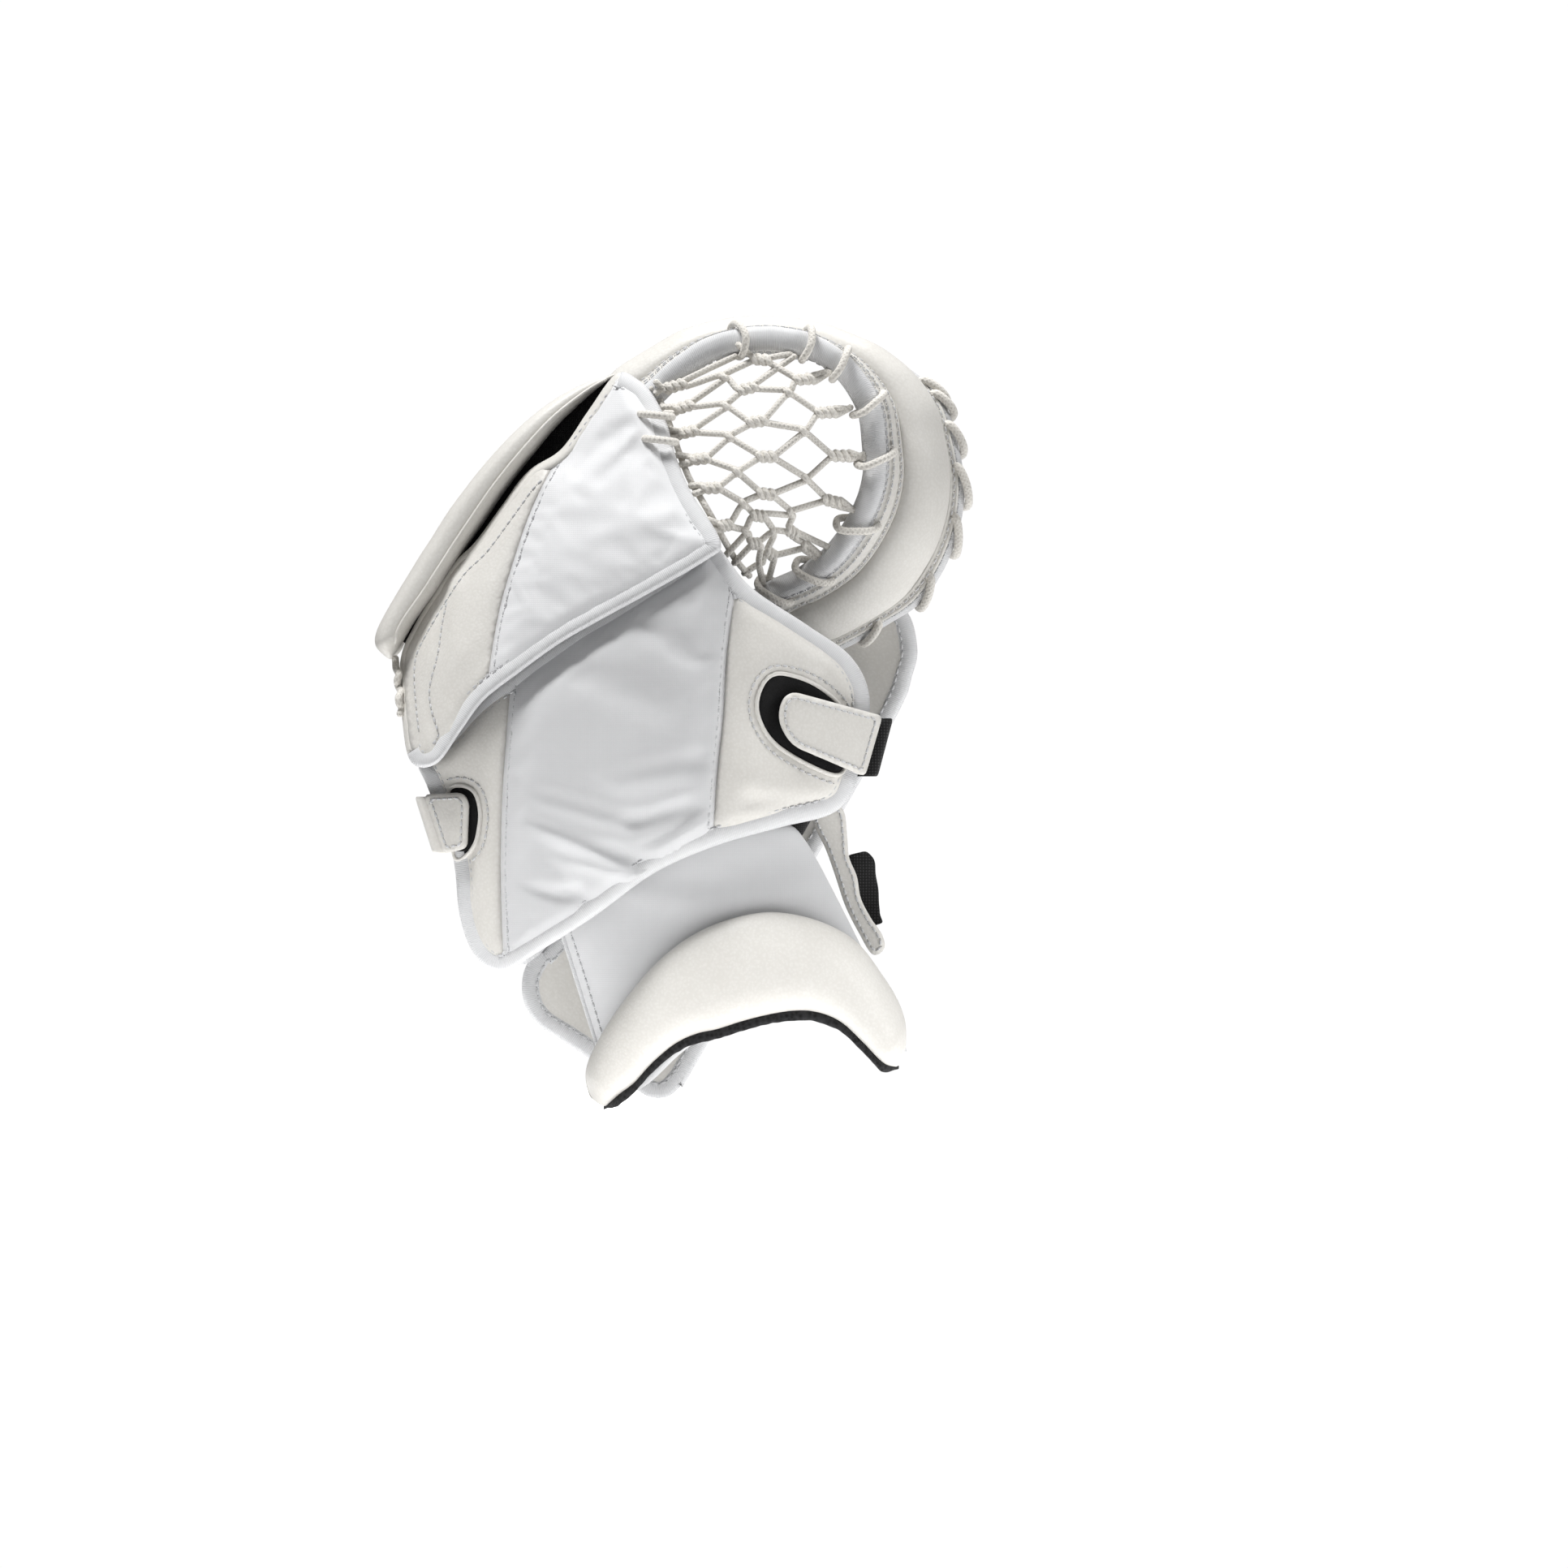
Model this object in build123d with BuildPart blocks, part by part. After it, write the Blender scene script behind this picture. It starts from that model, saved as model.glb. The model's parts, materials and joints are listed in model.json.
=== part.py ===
from build123d import *

# Ice hockey goalie catch glove for the left hand: an assembly of sewn pads, boards, laces and straps.
#
# Units are millimetres. +Z points from the wrist towards the fingertips, +Y is the way the palm faces, and
# the back of the hand faces -Y. The origin is the middle of the wrist opening.

import math
import os
from collections import namedtuple

os.makedirs("parts", exist_ok=True)

# ---- driving dimensions -------------------------------------------------------------------------
GAP = 0.3                 # air left between neighbouring sewn layers
LEATHER = 2.0             # leather or nylon face thickness
LINING = 1.5              # lining thickness
SEAM = 0.4                # slit between two face panels
BINDING = 5.0             # width of the edge tape on the pads
INSIDE_BINDING = BINDING + GAP
HAND_DEPTH = 14.0         # full depth of the back-of-hand pad
FINGER_DEPTH = 11.0       # full depth of the finger pad
LACE_R = 2.1              # radius of the braided lace
RIM_THICK = 11.0          # thickness of the pocket rim
RIM_TAPE_R = 4.5          # radius of the taped rim edges
RIM_INSET = RIM_TAPE_R + 0.7
LACE_LOOP_R = 7.0         # radius at which a lace loop goes round a taped rim edge
BOARD_NEAR = 42.0         # y of the cuff board's inner face
BOARD_DEPTH = 15.0        # thickness of the cuff and thumb board
BOARD_FAR = BOARD_NEAR + BOARD_DEPTH
BOARD_TAPE = 5.0
PALM_BOARD_DEPTH = 8.0
FINGER_BOARD_DEPTH = 9.0
NET_DEPTH = 3.5           # thickness of the pocket net over its knots
STALL_R = 13.0            # outer radius of a finger stall
THUMB_STALL_R = 15.0
THUMB_STALL_LENGTH = 66.0
THUMB_STALL_START = (8, 20, 112)      # middle of the thumb stall's open end
THUMB_STALL_RUN = (0.5, 0, 0.866)     # the way the thumb points
CUFF_A, CUFF_B = 80.0, 36.0   # half width and half depth of the wrist sleeve
CUFF_Y = -18.0            # y of the sleeve's widest section
CUFF_EDGE_Y = CUFF_Y + 12.0           # the sleeve and the roll end here, beside the board
CUFF_CUT_LENGTH = 110.0   # a cut from there to behind the roll
CUFF_LEAN = -0.31         # the sleeve leans to -X by this much per unit of height
SLEEVE_DEPTH = 7.0
ROLL_GAP = 0.8
ROLL_DEPTH = 22.0         # how far the wrist roll stands off the sleeve
TAB_DEPTH = 2.6           # leather of a strap tab
HOOK_DEPTH = 1.2
TAB_LIFT = 2.2            # clearance between a tab's hook patch and the pad's face
TAB_TOP = TAB_LIFT + HOOK_DEPTH + TAB_DEPTH
STRAP_DEPTH = 3.0
EDGE_NEAR, EDGE_FAR = -26.0, 38.0     # y range of the padded fingertip edge
EDGE_COVER = 2.5
TIE_LACE_START = (-190, -8, 192)      # the tie lace hangs from the lower end of the fingertip edge
TIE_LACE_RUN = (0.35, 0, -1)
TIE_LACE_LENGTH = 18.0
GUSSET_NEAR, GUSSET_FAR = -7.0, 24.0          # y ranges of the walls between back and palm
INDEX_WALL_NEAR, INDEX_WALL_FAR = -18.0, 20.0
PALM_WALL_NEAR, PALM_WALL_FAR = -27.0, 21.0
INNER_BACK_FAR = -22.0    # y of the inner back layer's palm side
WRIST_TAB_FAR = -20.0     # y of the wrist tab's palm side
CUT_PLANE_Y, CUT_LENGTH = 130.0, 290.0
BAND_REACH = 200.0        # a padded surface reaches this far to each side of its x0
BAND_HEIGHT = 230.0       # a padded surface reaches this far above and below its z0

# A padded surface: it passes through (x0, y0, z0), rises towards +Y by sx and sz per unit of x and z, and
# is an arc of the given radius across the glove; radius 0 is flat.
Surface = namedtuple("Surface", "x0 y0 z0 sx sz radius")
HAND_BACK = Surface(-50, -75, 150, 0, 0, 190)
FINGER_BACK = Surface(12, -93, 231, 0, 0.47, 250)
FINGER_PALM = Surface(-100, 20, 204, -0.138, 0.196, 0)
PALM = Surface(-100, 30, 100, -0.02, -0.13, 0)
NET = Surface(8, -47, 290, 0, 0.03, 130)

# ---- outlines in the X-Z plane, seen from the back of the hand -----------------------------------
HAND_PAD = [(-30, 246), (2, 232), (45, 206), (57, 190), (60, 172), (57, 140), (46, 121), (18, 112),
            (-31, 98), (-63, 79), (-95, 56), (-118, 42), (-131, 41), (-141, 52), (-149, 84), (-150, 106),
            (-166, 134), (-173, 146), (-151, 158), (-137, 174), (-95, 205)]
HAND_LEFT_SEAM = [(-119, 260), (-120, 188), (-124, 110), (-124, 30)]
HAND_RIGHT_SEAM = [(-5, 260), (-6, 231), (-12, 170), (-17, 90)]
FINGER_PAD = [(-162, 151), (-152, 164), (-138, 181), (-95, 212), (-24, 255), (-22, 261), (-38, 287),
              (-47, 306), (-51, 323), (-66, 341), (-84, 325), (-98, 304), (-113, 297), (-141, 259),
              (-173, 216), (-180, 203), (-179, 178), (-176, 154)]
FINGER_SEAM = [(-70, 350), (-80, 318), (-112, 265), (-121, 251), (-128, 231), (-138, 150)]
EDGE_OUTER = [(-190, 203), (-195, 213), (-181, 240), (-150, 288), (-118, 325), (-77, 351)]
EDGE_INNER = [(-70, 346), (-103, 325), (-128, 297), (-151, 262), (-173, 227), (-186, 206)]
FINGER_BOARD = [(-176, 196), (-164, 226), (-143, 260), (-120, 294), (-97, 321), (-72, 338), (-58, 330),
                (-45, 300), (-36, 272), (-46, 255), (-150, 181)]
FINGER_WALL = [(-176, 203), (-166, 222), (-145, 257), (-122, 291), (-98, 318), (-76, 335)]
INDEX_WALL = [(-58, 321), (-49, 300), (-42, 278), (-48, 260)]
PALM_BOARD = [(-152, 142), (-20, 235), (-20, 208), (-105, 60), (-131, 56), (-142, 88), (-148, 120)]
PALM_WALL = [(-128, 60), (-137, 88), (-143, 118), (-146, 136)]
INNER_BACK = [(-140, 150), (-30, 225), (0, 150), (-10, 104), (-105, 104)]
CUFF_BOARD = [(-45, -30), (73, 173), (84, 198), (85, 212), (80, 228), (58, 244), (18, 232), (0, 204),
              (-112, 48), (-118, 28), (-112, 14), (-97, 6)]
NET_OUTLINE = [(-37, 318), (-31, 300), (-15, 274), (4, 255), (16, 252), (32, 264), (44, 282), (50, 302),
               (48, 326), (36, 345), (20, 355), (-4, 356), (-24, 346)]
SLEEVE = [(-86, -14), (-96, 10), (-113, 50), (-118, 92), (30, 108), (48, 72), (62, 44), (78, 14), (76, 0),
          (58, 8), (34, 24), (4, 20), (-30, 6), (-60, -16), (-76, -24)]
ROLL = [(-83, -22), (-76, 5), (-63, 24), (-47, 43), (-31, 56), (5, 70), (21, 70), (40, 64), (56, 53),
        (69, 37), (78, 16), (78, 2), (73, -6), (66, -6), (48, 13), (34, 19), (21, 19), (2, 14), (-14, 9),
        (-41, -8), (-65, -27), (-74, -30)]
THUMB_TAB = [(22, 184), (62, 171), (55, 140), (18, 155), (14, 170)]
THUMB_STRAP = [(30, 176), (66, 167), (59, 138), (26, 149)]
SIDE_TAB = [(-162, 128), (-145, 131), (-142, 124), (-144, 101), (-154, 101)]
SIDE_STRAP = [(-166, 127), (-138, 131), (-138, 101), (-156, 100)]
WRIST_TAB = [(36, 106), (52, 74), (64, 52), (70, 56), (60, 82), (52, 106)]
WEBBING = [(54, 98), (62, 94), (70, 68), (64, 64), (56, 84)]

# Slots in the hand pad's leather where the loop patches show: centre, length, width and angle.
THUMB_WINDOW = ((26, 166), 54, 38, -19)
SIDE_WINDOW = ((-143, 115), 22, 34, 0)

# The knuckle line, which the finger half folds about; s is measured square to it, towards the fingertips.
KNUCKLE = (-175.0, 150.0)
ALONG = (0.816, 0.578)
STALLS = ((38, 35), (68, 54), (98, 68), (128, 76))     # place along the knuckle line, and reach in s
STALL_START = 13.0
STALL_Y = -5.0

# Inner and outer edge of the pocket rim, from the fingertips round to the thumb: (x, y, z) pairs.
RIM_FINGER = [((-47, -24, 340), (-60, 36, 352)), ((-37, -27, 350), (-46, 39, 358)),
              ((-22, -29, 360), (-28, 42, 364)), ((-6, -30, 365), (-8, 44, 366)),
              ((10, -30, 366), (12, 45, 366)), ((26, -30, 363), (36, 45, 363)),
              ((40, -29, 355), (60, 41, 356)), ((50, -28, 344), (77, 37, 350))]
RIM_THUMB = [((59, -25, 314), (101, 30, 318)), ((59, -24, 296), (106, 27, 290)),
             ((53, -21, 278), (101, 29, 262)), ((40, -16, 259), (87, 32, 237)),
             ((25, -11, 247), (67, 33, 223)), ((9, -7, 240), (46, 33, 211)), ((-4, -4, 233), (28, 31, 203))]


# ---- shared shapes -------------------------------------------------------------------------------
def flat_face(outline, y, rounding=4.0, inset=0.0):
    """The filled outline on the X-Z plane at depth y, with rounded corners, drawn in by inset."""
    with BuildSketch(Plane.XZ.offset(-y)) as face:
        Polygon(*outline, align=None)
        fillet(face.vertices(), rounding)
        if inset:
            offset(amount=-inset, kind=Kind.INTERSECTION)
    return face.sketch


def slot_face(window, y, grow=0.0):
    """A slot with round ends on the X-Z plane, made larger all round by grow."""
    (x, z), length, width, angle = window
    with BuildSketch(Plane.XZ.offset(-y)) as face:
        with Locations(Location((x, z, 0), (0, 0, angle))):
            RectangleRounded(length + 2 * grow, width + 2 * grow, min(length, width) / 2 - 1 + grow)
    return face.sketch


def side_face(seam, side, y, reach=260):
    """Everything on one side (-1 left, +1 right) of a seam that runs down the glove."""
    line = [(x + side * SEAM / 2, z) for x, z in seam]
    with BuildSketch(Plane.XZ.offset(-y)) as face:
        Polygon(*line, (side * reach, line[-1][1]), (side * reach, line[0][1]), align=None)
    return face.sketch


def wall_face(line, y, thickness=LINING):
    """A thin wall along a smooth line on the X-Z plane; it thickens square to the line's chord."""
    chord = Vector(*line[-1]) - Vector(*line[0])
    step = Vector(chord.Y, -chord.X).normalized() * thickness
    moved = [(x + step.X, z + step.Y) for x, z in line]
    with BuildSketch(Plane.XZ.offset(-y)) as face:
        with BuildLine():
            Spline(*line)
            Line(line[-1], moved[-1])
            Spline(*moved)
            Line(moved[0], line[0])
        make_face()
    return face.sketch


def band_face(surface, start, stop, height):
    """The section of a layer across the glove, from one depth behind the surface to another."""
    bow = surface.radius or 1e4
    reach = min(BAND_REACH, 0.85 * bow)
    points = {}
    for depth in (start, stop):
        edge_rise = bow - math.sqrt(bow * bow - reach * reach) if surface.radius else 0
        points[depth] = [
            (surface.x0 + side * reach,
             surface.y0 + depth + surface.sx * side * reach + (edge_rise if side else 0))
            for side in (-1, 0, 1)
        ]
    with BuildSketch(Plane((0, -surface.sz * height, surface.z0 - height))) as face:
        with BuildLine():
            for left, middle, right in points.values():
                if surface.radius:
                    ThreePointArc(left, middle, right)
                else:
                    Line(left, right)
            Line(points[start][0], points[stop][0])
            Line(points[start][2], points[stop][2])
        make_face()
    return face.sketch


def keep_layer(surface, start, stop, height=BAND_HEIGHT):
    """Keeps only what lies between two depths behind a surface, in the part that is open."""
    rise = math.hypot(1, surface.sz)
    section = band_face(surface, start, stop, height)
    extrude(section, amount=2 * height * rise, dir=(0, surface.sz, 1), mode=Mode.INTERSECT)


def pad_layer(outline, surface, start, stop, rounding=4.0, inset=0.0):
    """Adds a curved layer with a rounded outline to the part that is open."""
    extrude(flat_face(outline, CUT_PLANE_Y, rounding, inset), amount=CUT_LENGTH)
    keep_layer(surface, start, stop)


def tape_layer(outline, surface, start, stop, rounding=4.0):
    """Adds the tape round a pad's edge to the part that is open."""
    pad_layer(outline, surface, start, stop, rounding)
    extrude(flat_face(outline, CUT_PLANE_Y, rounding, BINDING), amount=CUT_LENGTH, mode=Mode.SUBTRACT)


def keep_side(seam, side):
    """Keeps only what lies on one side of a seam, in the part that is open."""
    extrude(side_face(seam, side, CUT_PLANE_Y), amount=CUT_LENGTH, mode=Mode.INTERSECT)


def cut_slot(window):
    extrude(slot_face(window, CUT_PLANE_Y), amount=CUT_LENGTH, mode=Mode.SUBTRACT)


def keep_slot(window):
    extrude(slot_face(window, CUT_PLANE_Y, -GAP), amount=CUT_LENGTH, mode=Mode.INTERSECT)


def save(piece, name):
    """Labels a finished sub-part and writes its STEP file."""
    piece.part.label = name
    export_step(piece.part, f"parts/{name}.step")


# ---- back-of-hand pad ----------------------------------------------------------------------------
with BuildPart() as hand_side_leather:
    pad_layer(HAND_PAD, HAND_BACK, 0, LEATHER, inset=INSIDE_BINDING)
    keep_side(HAND_LEFT_SEAM, -1)
    cut_slot(SIDE_WINDOW)
save(hand_side_leather, "hand_side_leather")

with BuildPart() as hand_nylon:
    pad_layer(HAND_PAD, HAND_BACK, 0, LEATHER, inset=INSIDE_BINDING)
    keep_side(HAND_LEFT_SEAM, 1)
    keep_side(HAND_RIGHT_SEAM, -1)
save(hand_nylon, "hand_nylon")

with BuildPart() as hand_thumb_leather:
    pad_layer(HAND_PAD, HAND_BACK, 0, LEATHER, inset=INSIDE_BINDING)
    keep_side(HAND_RIGHT_SEAM, 1)
    cut_slot(THUMB_WINDOW)
save(hand_thumb_leather, "hand_thumb_leather")

with BuildPart() as side_loop_patch:
    pad_layer(HAND_PAD, HAND_BACK, 0.4, LEATHER, inset=INSIDE_BINDING)
    keep_side(HAND_LEFT_SEAM, -1)
    keep_slot(SIDE_WINDOW)
save(side_loop_patch, "side_loop_patch")

with BuildPart() as thumb_loop_patch:
    pad_layer(HAND_PAD, HAND_BACK, 0.4, LEATHER, inset=INSIDE_BINDING)
    keep_side(HAND_RIGHT_SEAM, 1)
    keep_slot(THUMB_WINDOW)
save(thumb_loop_patch, "thumb_loop_patch")

with BuildPart() as hand_foam:
    pad_layer(HAND_PAD, HAND_BACK, LEATHER + GAP, HAND_DEPTH - LINING - GAP, inset=INSIDE_BINDING)
save(hand_foam, "hand_foam")

with BuildPart() as hand_lining:
    pad_layer(HAND_PAD, HAND_BACK, HAND_DEPTH - LINING, HAND_DEPTH, inset=INSIDE_BINDING)
save(hand_lining, "hand_lining")

with BuildPart() as hand_binding:
    tape_layer(HAND_PAD, HAND_BACK, -1.0, HAND_DEPTH + 1.0)
save(hand_binding, "hand_binding")

# ---- finger pad ----------------------------------------------------------------------------------
FINGER_ROUNDING = 2.5

with BuildPart() as finger_leather:
    pad_layer(FINGER_PAD, FINGER_BACK, 0, LEATHER, FINGER_ROUNDING, INSIDE_BINDING)
    keep_side(FINGER_SEAM, -1)
save(finger_leather, "finger_leather")

with BuildPart() as finger_nylon:
    pad_layer(FINGER_PAD, FINGER_BACK, 0, LEATHER, FINGER_ROUNDING, INSIDE_BINDING)
    keep_side(FINGER_SEAM, 1)
save(finger_nylon, "finger_nylon")

with BuildPart() as finger_foam:
    pad_layer(FINGER_PAD, FINGER_BACK, LEATHER + GAP, FINGER_DEPTH - LINING - GAP, FINGER_ROUNDING,
              INSIDE_BINDING)
save(finger_foam, "finger_foam")

with BuildPart() as finger_lining:
    pad_layer(FINGER_PAD, FINGER_BACK, FINGER_DEPTH - LINING, FINGER_DEPTH, FINGER_ROUNDING, INSIDE_BINDING)
save(finger_lining, "finger_lining")

with BuildPart() as finger_binding:
    tape_layer(FINGER_PAD, FINGER_BACK, -1.0, FINGER_DEPTH + 0.5, FINGER_ROUNDING)
save(finger_binding, "finger_binding")


# ---- padded fingertip edge -----------------------------------------------------------------------
def edge_face(inset, y):
    """The crescent of the fingertip roll, drawn in by inset."""
    outer = [(x + 0.8 * inset, z - 0.6 * inset) for x, z in EDGE_OUTER]
    inner = [(x - 0.8 * inset, z + 0.6 * inset) for x, z in EDGE_INNER]
    with BuildSketch(Plane.XZ.offset(-y)) as face:
        with BuildLine():
            Spline(*outer)
            Line(outer[-1], inner[0])
            Spline(*inner)
            Line(inner[-1], outer[0])
        make_face()
    return face.sketch


with BuildPart() as edge_cover:
    extrude(edge_face(0, EDGE_FAR), amount=EDGE_FAR - EDGE_NEAR)
    extrude(edge_face(EDGE_COVER, EDGE_FAR - EDGE_COVER), amount=EDGE_FAR - EDGE_NEAR - 2 * EDGE_COVER,
            mode=Mode.SUBTRACT)
save(edge_cover, "edge_cover")

EDGE_CORE = EDGE_COVER + GAP
with BuildPart() as edge_foam:
    extrude(edge_face(EDGE_CORE, EDGE_FAR - EDGE_CORE), amount=EDGE_FAR - EDGE_NEAR - 2 * EDGE_CORE)
save(edge_foam, "edge_foam")

with BuildPart() as edge_tie_lace:
    with BuildSketch(Plane(TIE_LACE_START, z_dir=TIE_LACE_RUN)):
        Circle(LACE_R)
    extrude(amount=TIE_LACE_LENGTH)
save(edge_tie_lace, "edge_tie_lace")

# ---- finger compartment --------------------------------------------------------------------------
with BuildPart() as finger_board:
    pad_layer(FINGER_BOARD, FINGER_PALM, 0, FINGER_BOARD_DEPTH)
save(finger_board, "finger_board")

FINGER_PALM_FACE = FINGER_BOARD_DEPTH + GAP
with BuildPart() as finger_palm_leather:
    pad_layer(FINGER_BOARD, FINGER_PALM, FINGER_PALM_FACE, FINGER_PALM_FACE + LEATHER)
save(finger_palm_leather, "finger_palm_leather")

with BuildPart() as finger_gusset:
    extrude(wall_face(FINGER_WALL, GUSSET_FAR), amount=GUSSET_FAR - GUSSET_NEAR)
save(finger_gusset, "finger_gusset")

with BuildPart() as index_wall:
    extrude(wall_face(INDEX_WALL, INDEX_WALL_FAR), amount=INDEX_WALL_FAR - INDEX_WALL_NEAR)
save(index_wall, "index_wall")

with BuildPart() as finger_stalls:
    for place, reach_s in STALLS:
        x = KNUCKLE[0] + ALONG[0] * place - ALONG[1] * STALL_START
        z = KNUCKLE[1] + ALONG[1] * place + ALONG[0] * STALL_START
        mouth = Plane((x, STALL_Y, z), x_dir=(0, 1, 0), z_dir=(-ALONG[1], 0, ALONG[0]))
        with BuildSketch(mouth):
            Circle(STALL_R)
        extrude(amount=reach_s - STALL_START)
        with BuildSketch(mouth):
            Circle(STALL_R - LINING)
        extrude(amount=reach_s - STALL_START - LINING, mode=Mode.SUBTRACT)
save(finger_stalls, "finger_stalls")

# ---- palm and hand compartment -------------------------------------------------------------------
with BuildPart() as palm_board:
    pad_layer(PALM_BOARD, PALM, 0, PALM_BOARD_DEPTH)
save(palm_board, "palm_board")

PALM_FACE = PALM_BOARD_DEPTH + GAP
with BuildPart() as palm_leather:
    pad_layer(PALM_BOARD, PALM, PALM_FACE, PALM_FACE + LEATHER)
save(palm_leather, "palm_leather")

with BuildPart() as palm_lining:
    pad_layer(PALM_BOARD, PALM, -LINING - GAP, -GAP, inset=2)
save(palm_lining, "palm_lining")

with BuildPart() as palm_side_wall:
    extrude(wall_face(PALM_WALL, PALM_WALL_FAR), amount=PALM_WALL_FAR - PALM_WALL_NEAR)
save(palm_side_wall, "palm_side_wall")

with BuildPart() as inner_back:
    extrude(flat_face(INNER_BACK, INNER_BACK_FAR), amount=LEATHER)
save(inner_back, "inner_back")

# ---- cuff and thumb board ------------------------------------------------------------------------
BOARD_ROUNDING = 5.0

with BuildPart() as board_inner_leather:
    extrude(flat_face(CUFF_BOARD, BOARD_NEAR + LEATHER, BOARD_ROUNDING, INSIDE_BINDING), amount=LEATHER)
save(board_inner_leather, "board_inner_leather")

with BuildPart() as board_core:
    extrude(flat_face(CUFF_BOARD, BOARD_FAR - LEATHER - GAP, BOARD_ROUNDING, INSIDE_BINDING),
            amount=BOARD_DEPTH - 2 * (LEATHER + GAP))
save(board_core, "board_core")

with BuildPart() as board_face_leather:
    extrude(flat_face(CUFF_BOARD, BOARD_FAR, BOARD_ROUNDING, INSIDE_BINDING), amount=LEATHER)
save(board_face_leather, "board_face_leather")

with BuildPart() as board_binding:
    extrude(flat_face(CUFF_BOARD, BOARD_FAR + 0.5, BOARD_ROUNDING), amount=BOARD_DEPTH + 1)
    extrude(flat_face(CUFF_BOARD, BOARD_FAR + 0.5, BOARD_ROUNDING, BOARD_TAPE), amount=BOARD_DEPTH + 1,
            mode=Mode.SUBTRACT)
save(board_binding, "board_binding")

with BuildPart() as thumb_stall:
    thumb_mouth = Plane(THUMB_STALL_START, x_dir=(0, 1, 0), z_dir=THUMB_STALL_RUN)
    with BuildSketch(thumb_mouth):
        Circle(THUMB_STALL_R)
    extrude(amount=THUMB_STALL_LENGTH)
    with BuildSketch(thumb_mouth):
        Circle(THUMB_STALL_R - LINING)
    extrude(amount=THUMB_STALL_LENGTH - LINING, mode=Mode.SUBTRACT)
save(thumb_stall, "thumb_stall")


# ---- pocket rim ----------------------------------------------------------------------------------
def rim_plane(stations, i):
    """The plane of one rim station (local x from the net edge to the outer edge) and the rim's width."""
    inner, outer = (Vector(*point) for point in stations[i])
    before = stations[max(i - 1, 0)]
    after = stations[min(i + 1, len(stations) - 1)]
    run = sum((Vector(*after[k]) - Vector(*before[k]) for k in (0, 1)), Vector(0, 0, 0))
    across = (outer - inner).normalized()
    along = (run - across * run.dot(across)).normalized()
    return Plane((inner + outer) / 2, x_dir=across, z_dir=along), (outer - inner).length


def rim_slab(stations, half_depth, inset, mode=Mode.ADD):
    """A slab along the rim, drawn in from both edges, lofted into the part that is open."""
    sections = []
    for i in range(len(stations)):
        plane, width = rim_plane(stations, i)
        with BuildSketch(plane) as section:
            Rectangle(width - 2 * inset, 2 * half_depth)
        sections.append(section.sketch)
    loft(sections, ruled=True, mode=mode)


def rim_tape(stations, side):
    """The taped edge of the rim, at the net (side -1) or outside (side 1), in the part that is open."""
    sections = []
    for i in range(len(stations)):
        plane, width = rim_plane(stations, i)
        with BuildSketch(plane) as section:
            with Locations((side * width / 2, 0)):
                Circle(RIM_TAPE_R)
        sections.append(section.sketch)
    loft(sections, ruled=True)


def lace_loops(stations, side):
    """Lace stitches: a half ring round the taped edge at each station but the first and last."""
    for i in range(1, len(stations) - 1):
        plane, width = rim_plane(stations, i)
        edge = plane.from_local_coords(Vector(side * width / 2, 0, 0))
        with BuildSketch(Plane(edge, x_dir=plane.y_dir, z_dir=plane.x_dir)) as section:
            with Locations((-LACE_LOOP_R, 0)):
                Circle(LACE_R)
        revolve(section.sketch, axis=Axis(edge, plane.z_dir), revolution_arc=180 * side)


RIM_COVER_HALF = RIM_THICK / 2
RIM_CORE_HALF = RIM_COVER_HALF - LEATHER - GAP
for prefix, stations in (("finger_rim", RIM_FINGER), ("thumb_rim", RIM_THUMB)):
    with BuildPart() as rim_cover:
        rim_slab(stations, RIM_COVER_HALF, RIM_INSET)
        rim_slab(stations, RIM_CORE_HALF + GAP, RIM_INSET + LEATHER, Mode.SUBTRACT)
    save(rim_cover, f"{prefix}_cover")
    with BuildPart() as rim_core:
        rim_slab(stations, RIM_CORE_HALF, RIM_INSET + LEATHER + GAP)
    save(rim_core, f"{prefix}_core")
    with BuildPart() as rim_net_tape:
        rim_tape(stations, -1)
    save(rim_net_tape, f"{prefix}_net_tape")
    with BuildPart() as rim_outer_tape:
        rim_tape(stations, 1)
    save(rim_outer_tape, f"{prefix}_outer_tape")
    with BuildPart() as rim_lace:
        lace_loops(stations, 1)
        lace_loops(stations, -1)
    save(rim_lace, f"{prefix}_lace")

with BuildPart() as pocket_net:
    pad_layer(NET_OUTLINE, NET, 0, NET_DEPTH)
save(pocket_net, "pocket_net")


# ---- wrist sleeve and wrist roll -----------------------------------------------------------------
def sleeve_layer(outline, start, stop, low=-60, high=140):
    """A half-oval layer round the back of the wrist, trimmed to an outline; depths grow outwards."""
    extrude(flat_face(outline, CUFF_EDGE_Y, 2), amount=CUFF_CUT_LENGTH)
    with BuildSketch(Plane((CUFF_LEAN * low, CUFF_Y, low))) as ring:
        Ellipse(CUFF_A + stop, CUFF_B + stop)
        Ellipse(CUFF_A + start, CUFF_B + start, mode=Mode.SUBTRACT)
    length = (high - low) * math.hypot(1, CUFF_LEAN)
    extrude(ring.sketch, amount=length, dir=(CUFF_LEAN, 0, 1), mode=Mode.INTERSECT)


with BuildPart() as sleeve_nylon:
    sleeve_layer(SLEEVE, -LEATHER, 0)
save(sleeve_nylon, "sleeve_nylon")

with BuildPart() as sleeve_foam:
    sleeve_layer(SLEEVE, -SLEEVE_DEPTH + LINING + GAP, -LEATHER - GAP)
save(sleeve_foam, "sleeve_foam")

with BuildPart() as sleeve_lining:
    sleeve_layer(SLEEVE, -SLEEVE_DEPTH, -SLEEVE_DEPTH + LINING)
save(sleeve_lining, "sleeve_lining")

with BuildPart() as roll_mesh_lining:
    sleeve_layer(ROLL, ROLL_GAP, ROLL_GAP + LINING)
save(roll_mesh_lining, "roll_mesh_lining")

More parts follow.
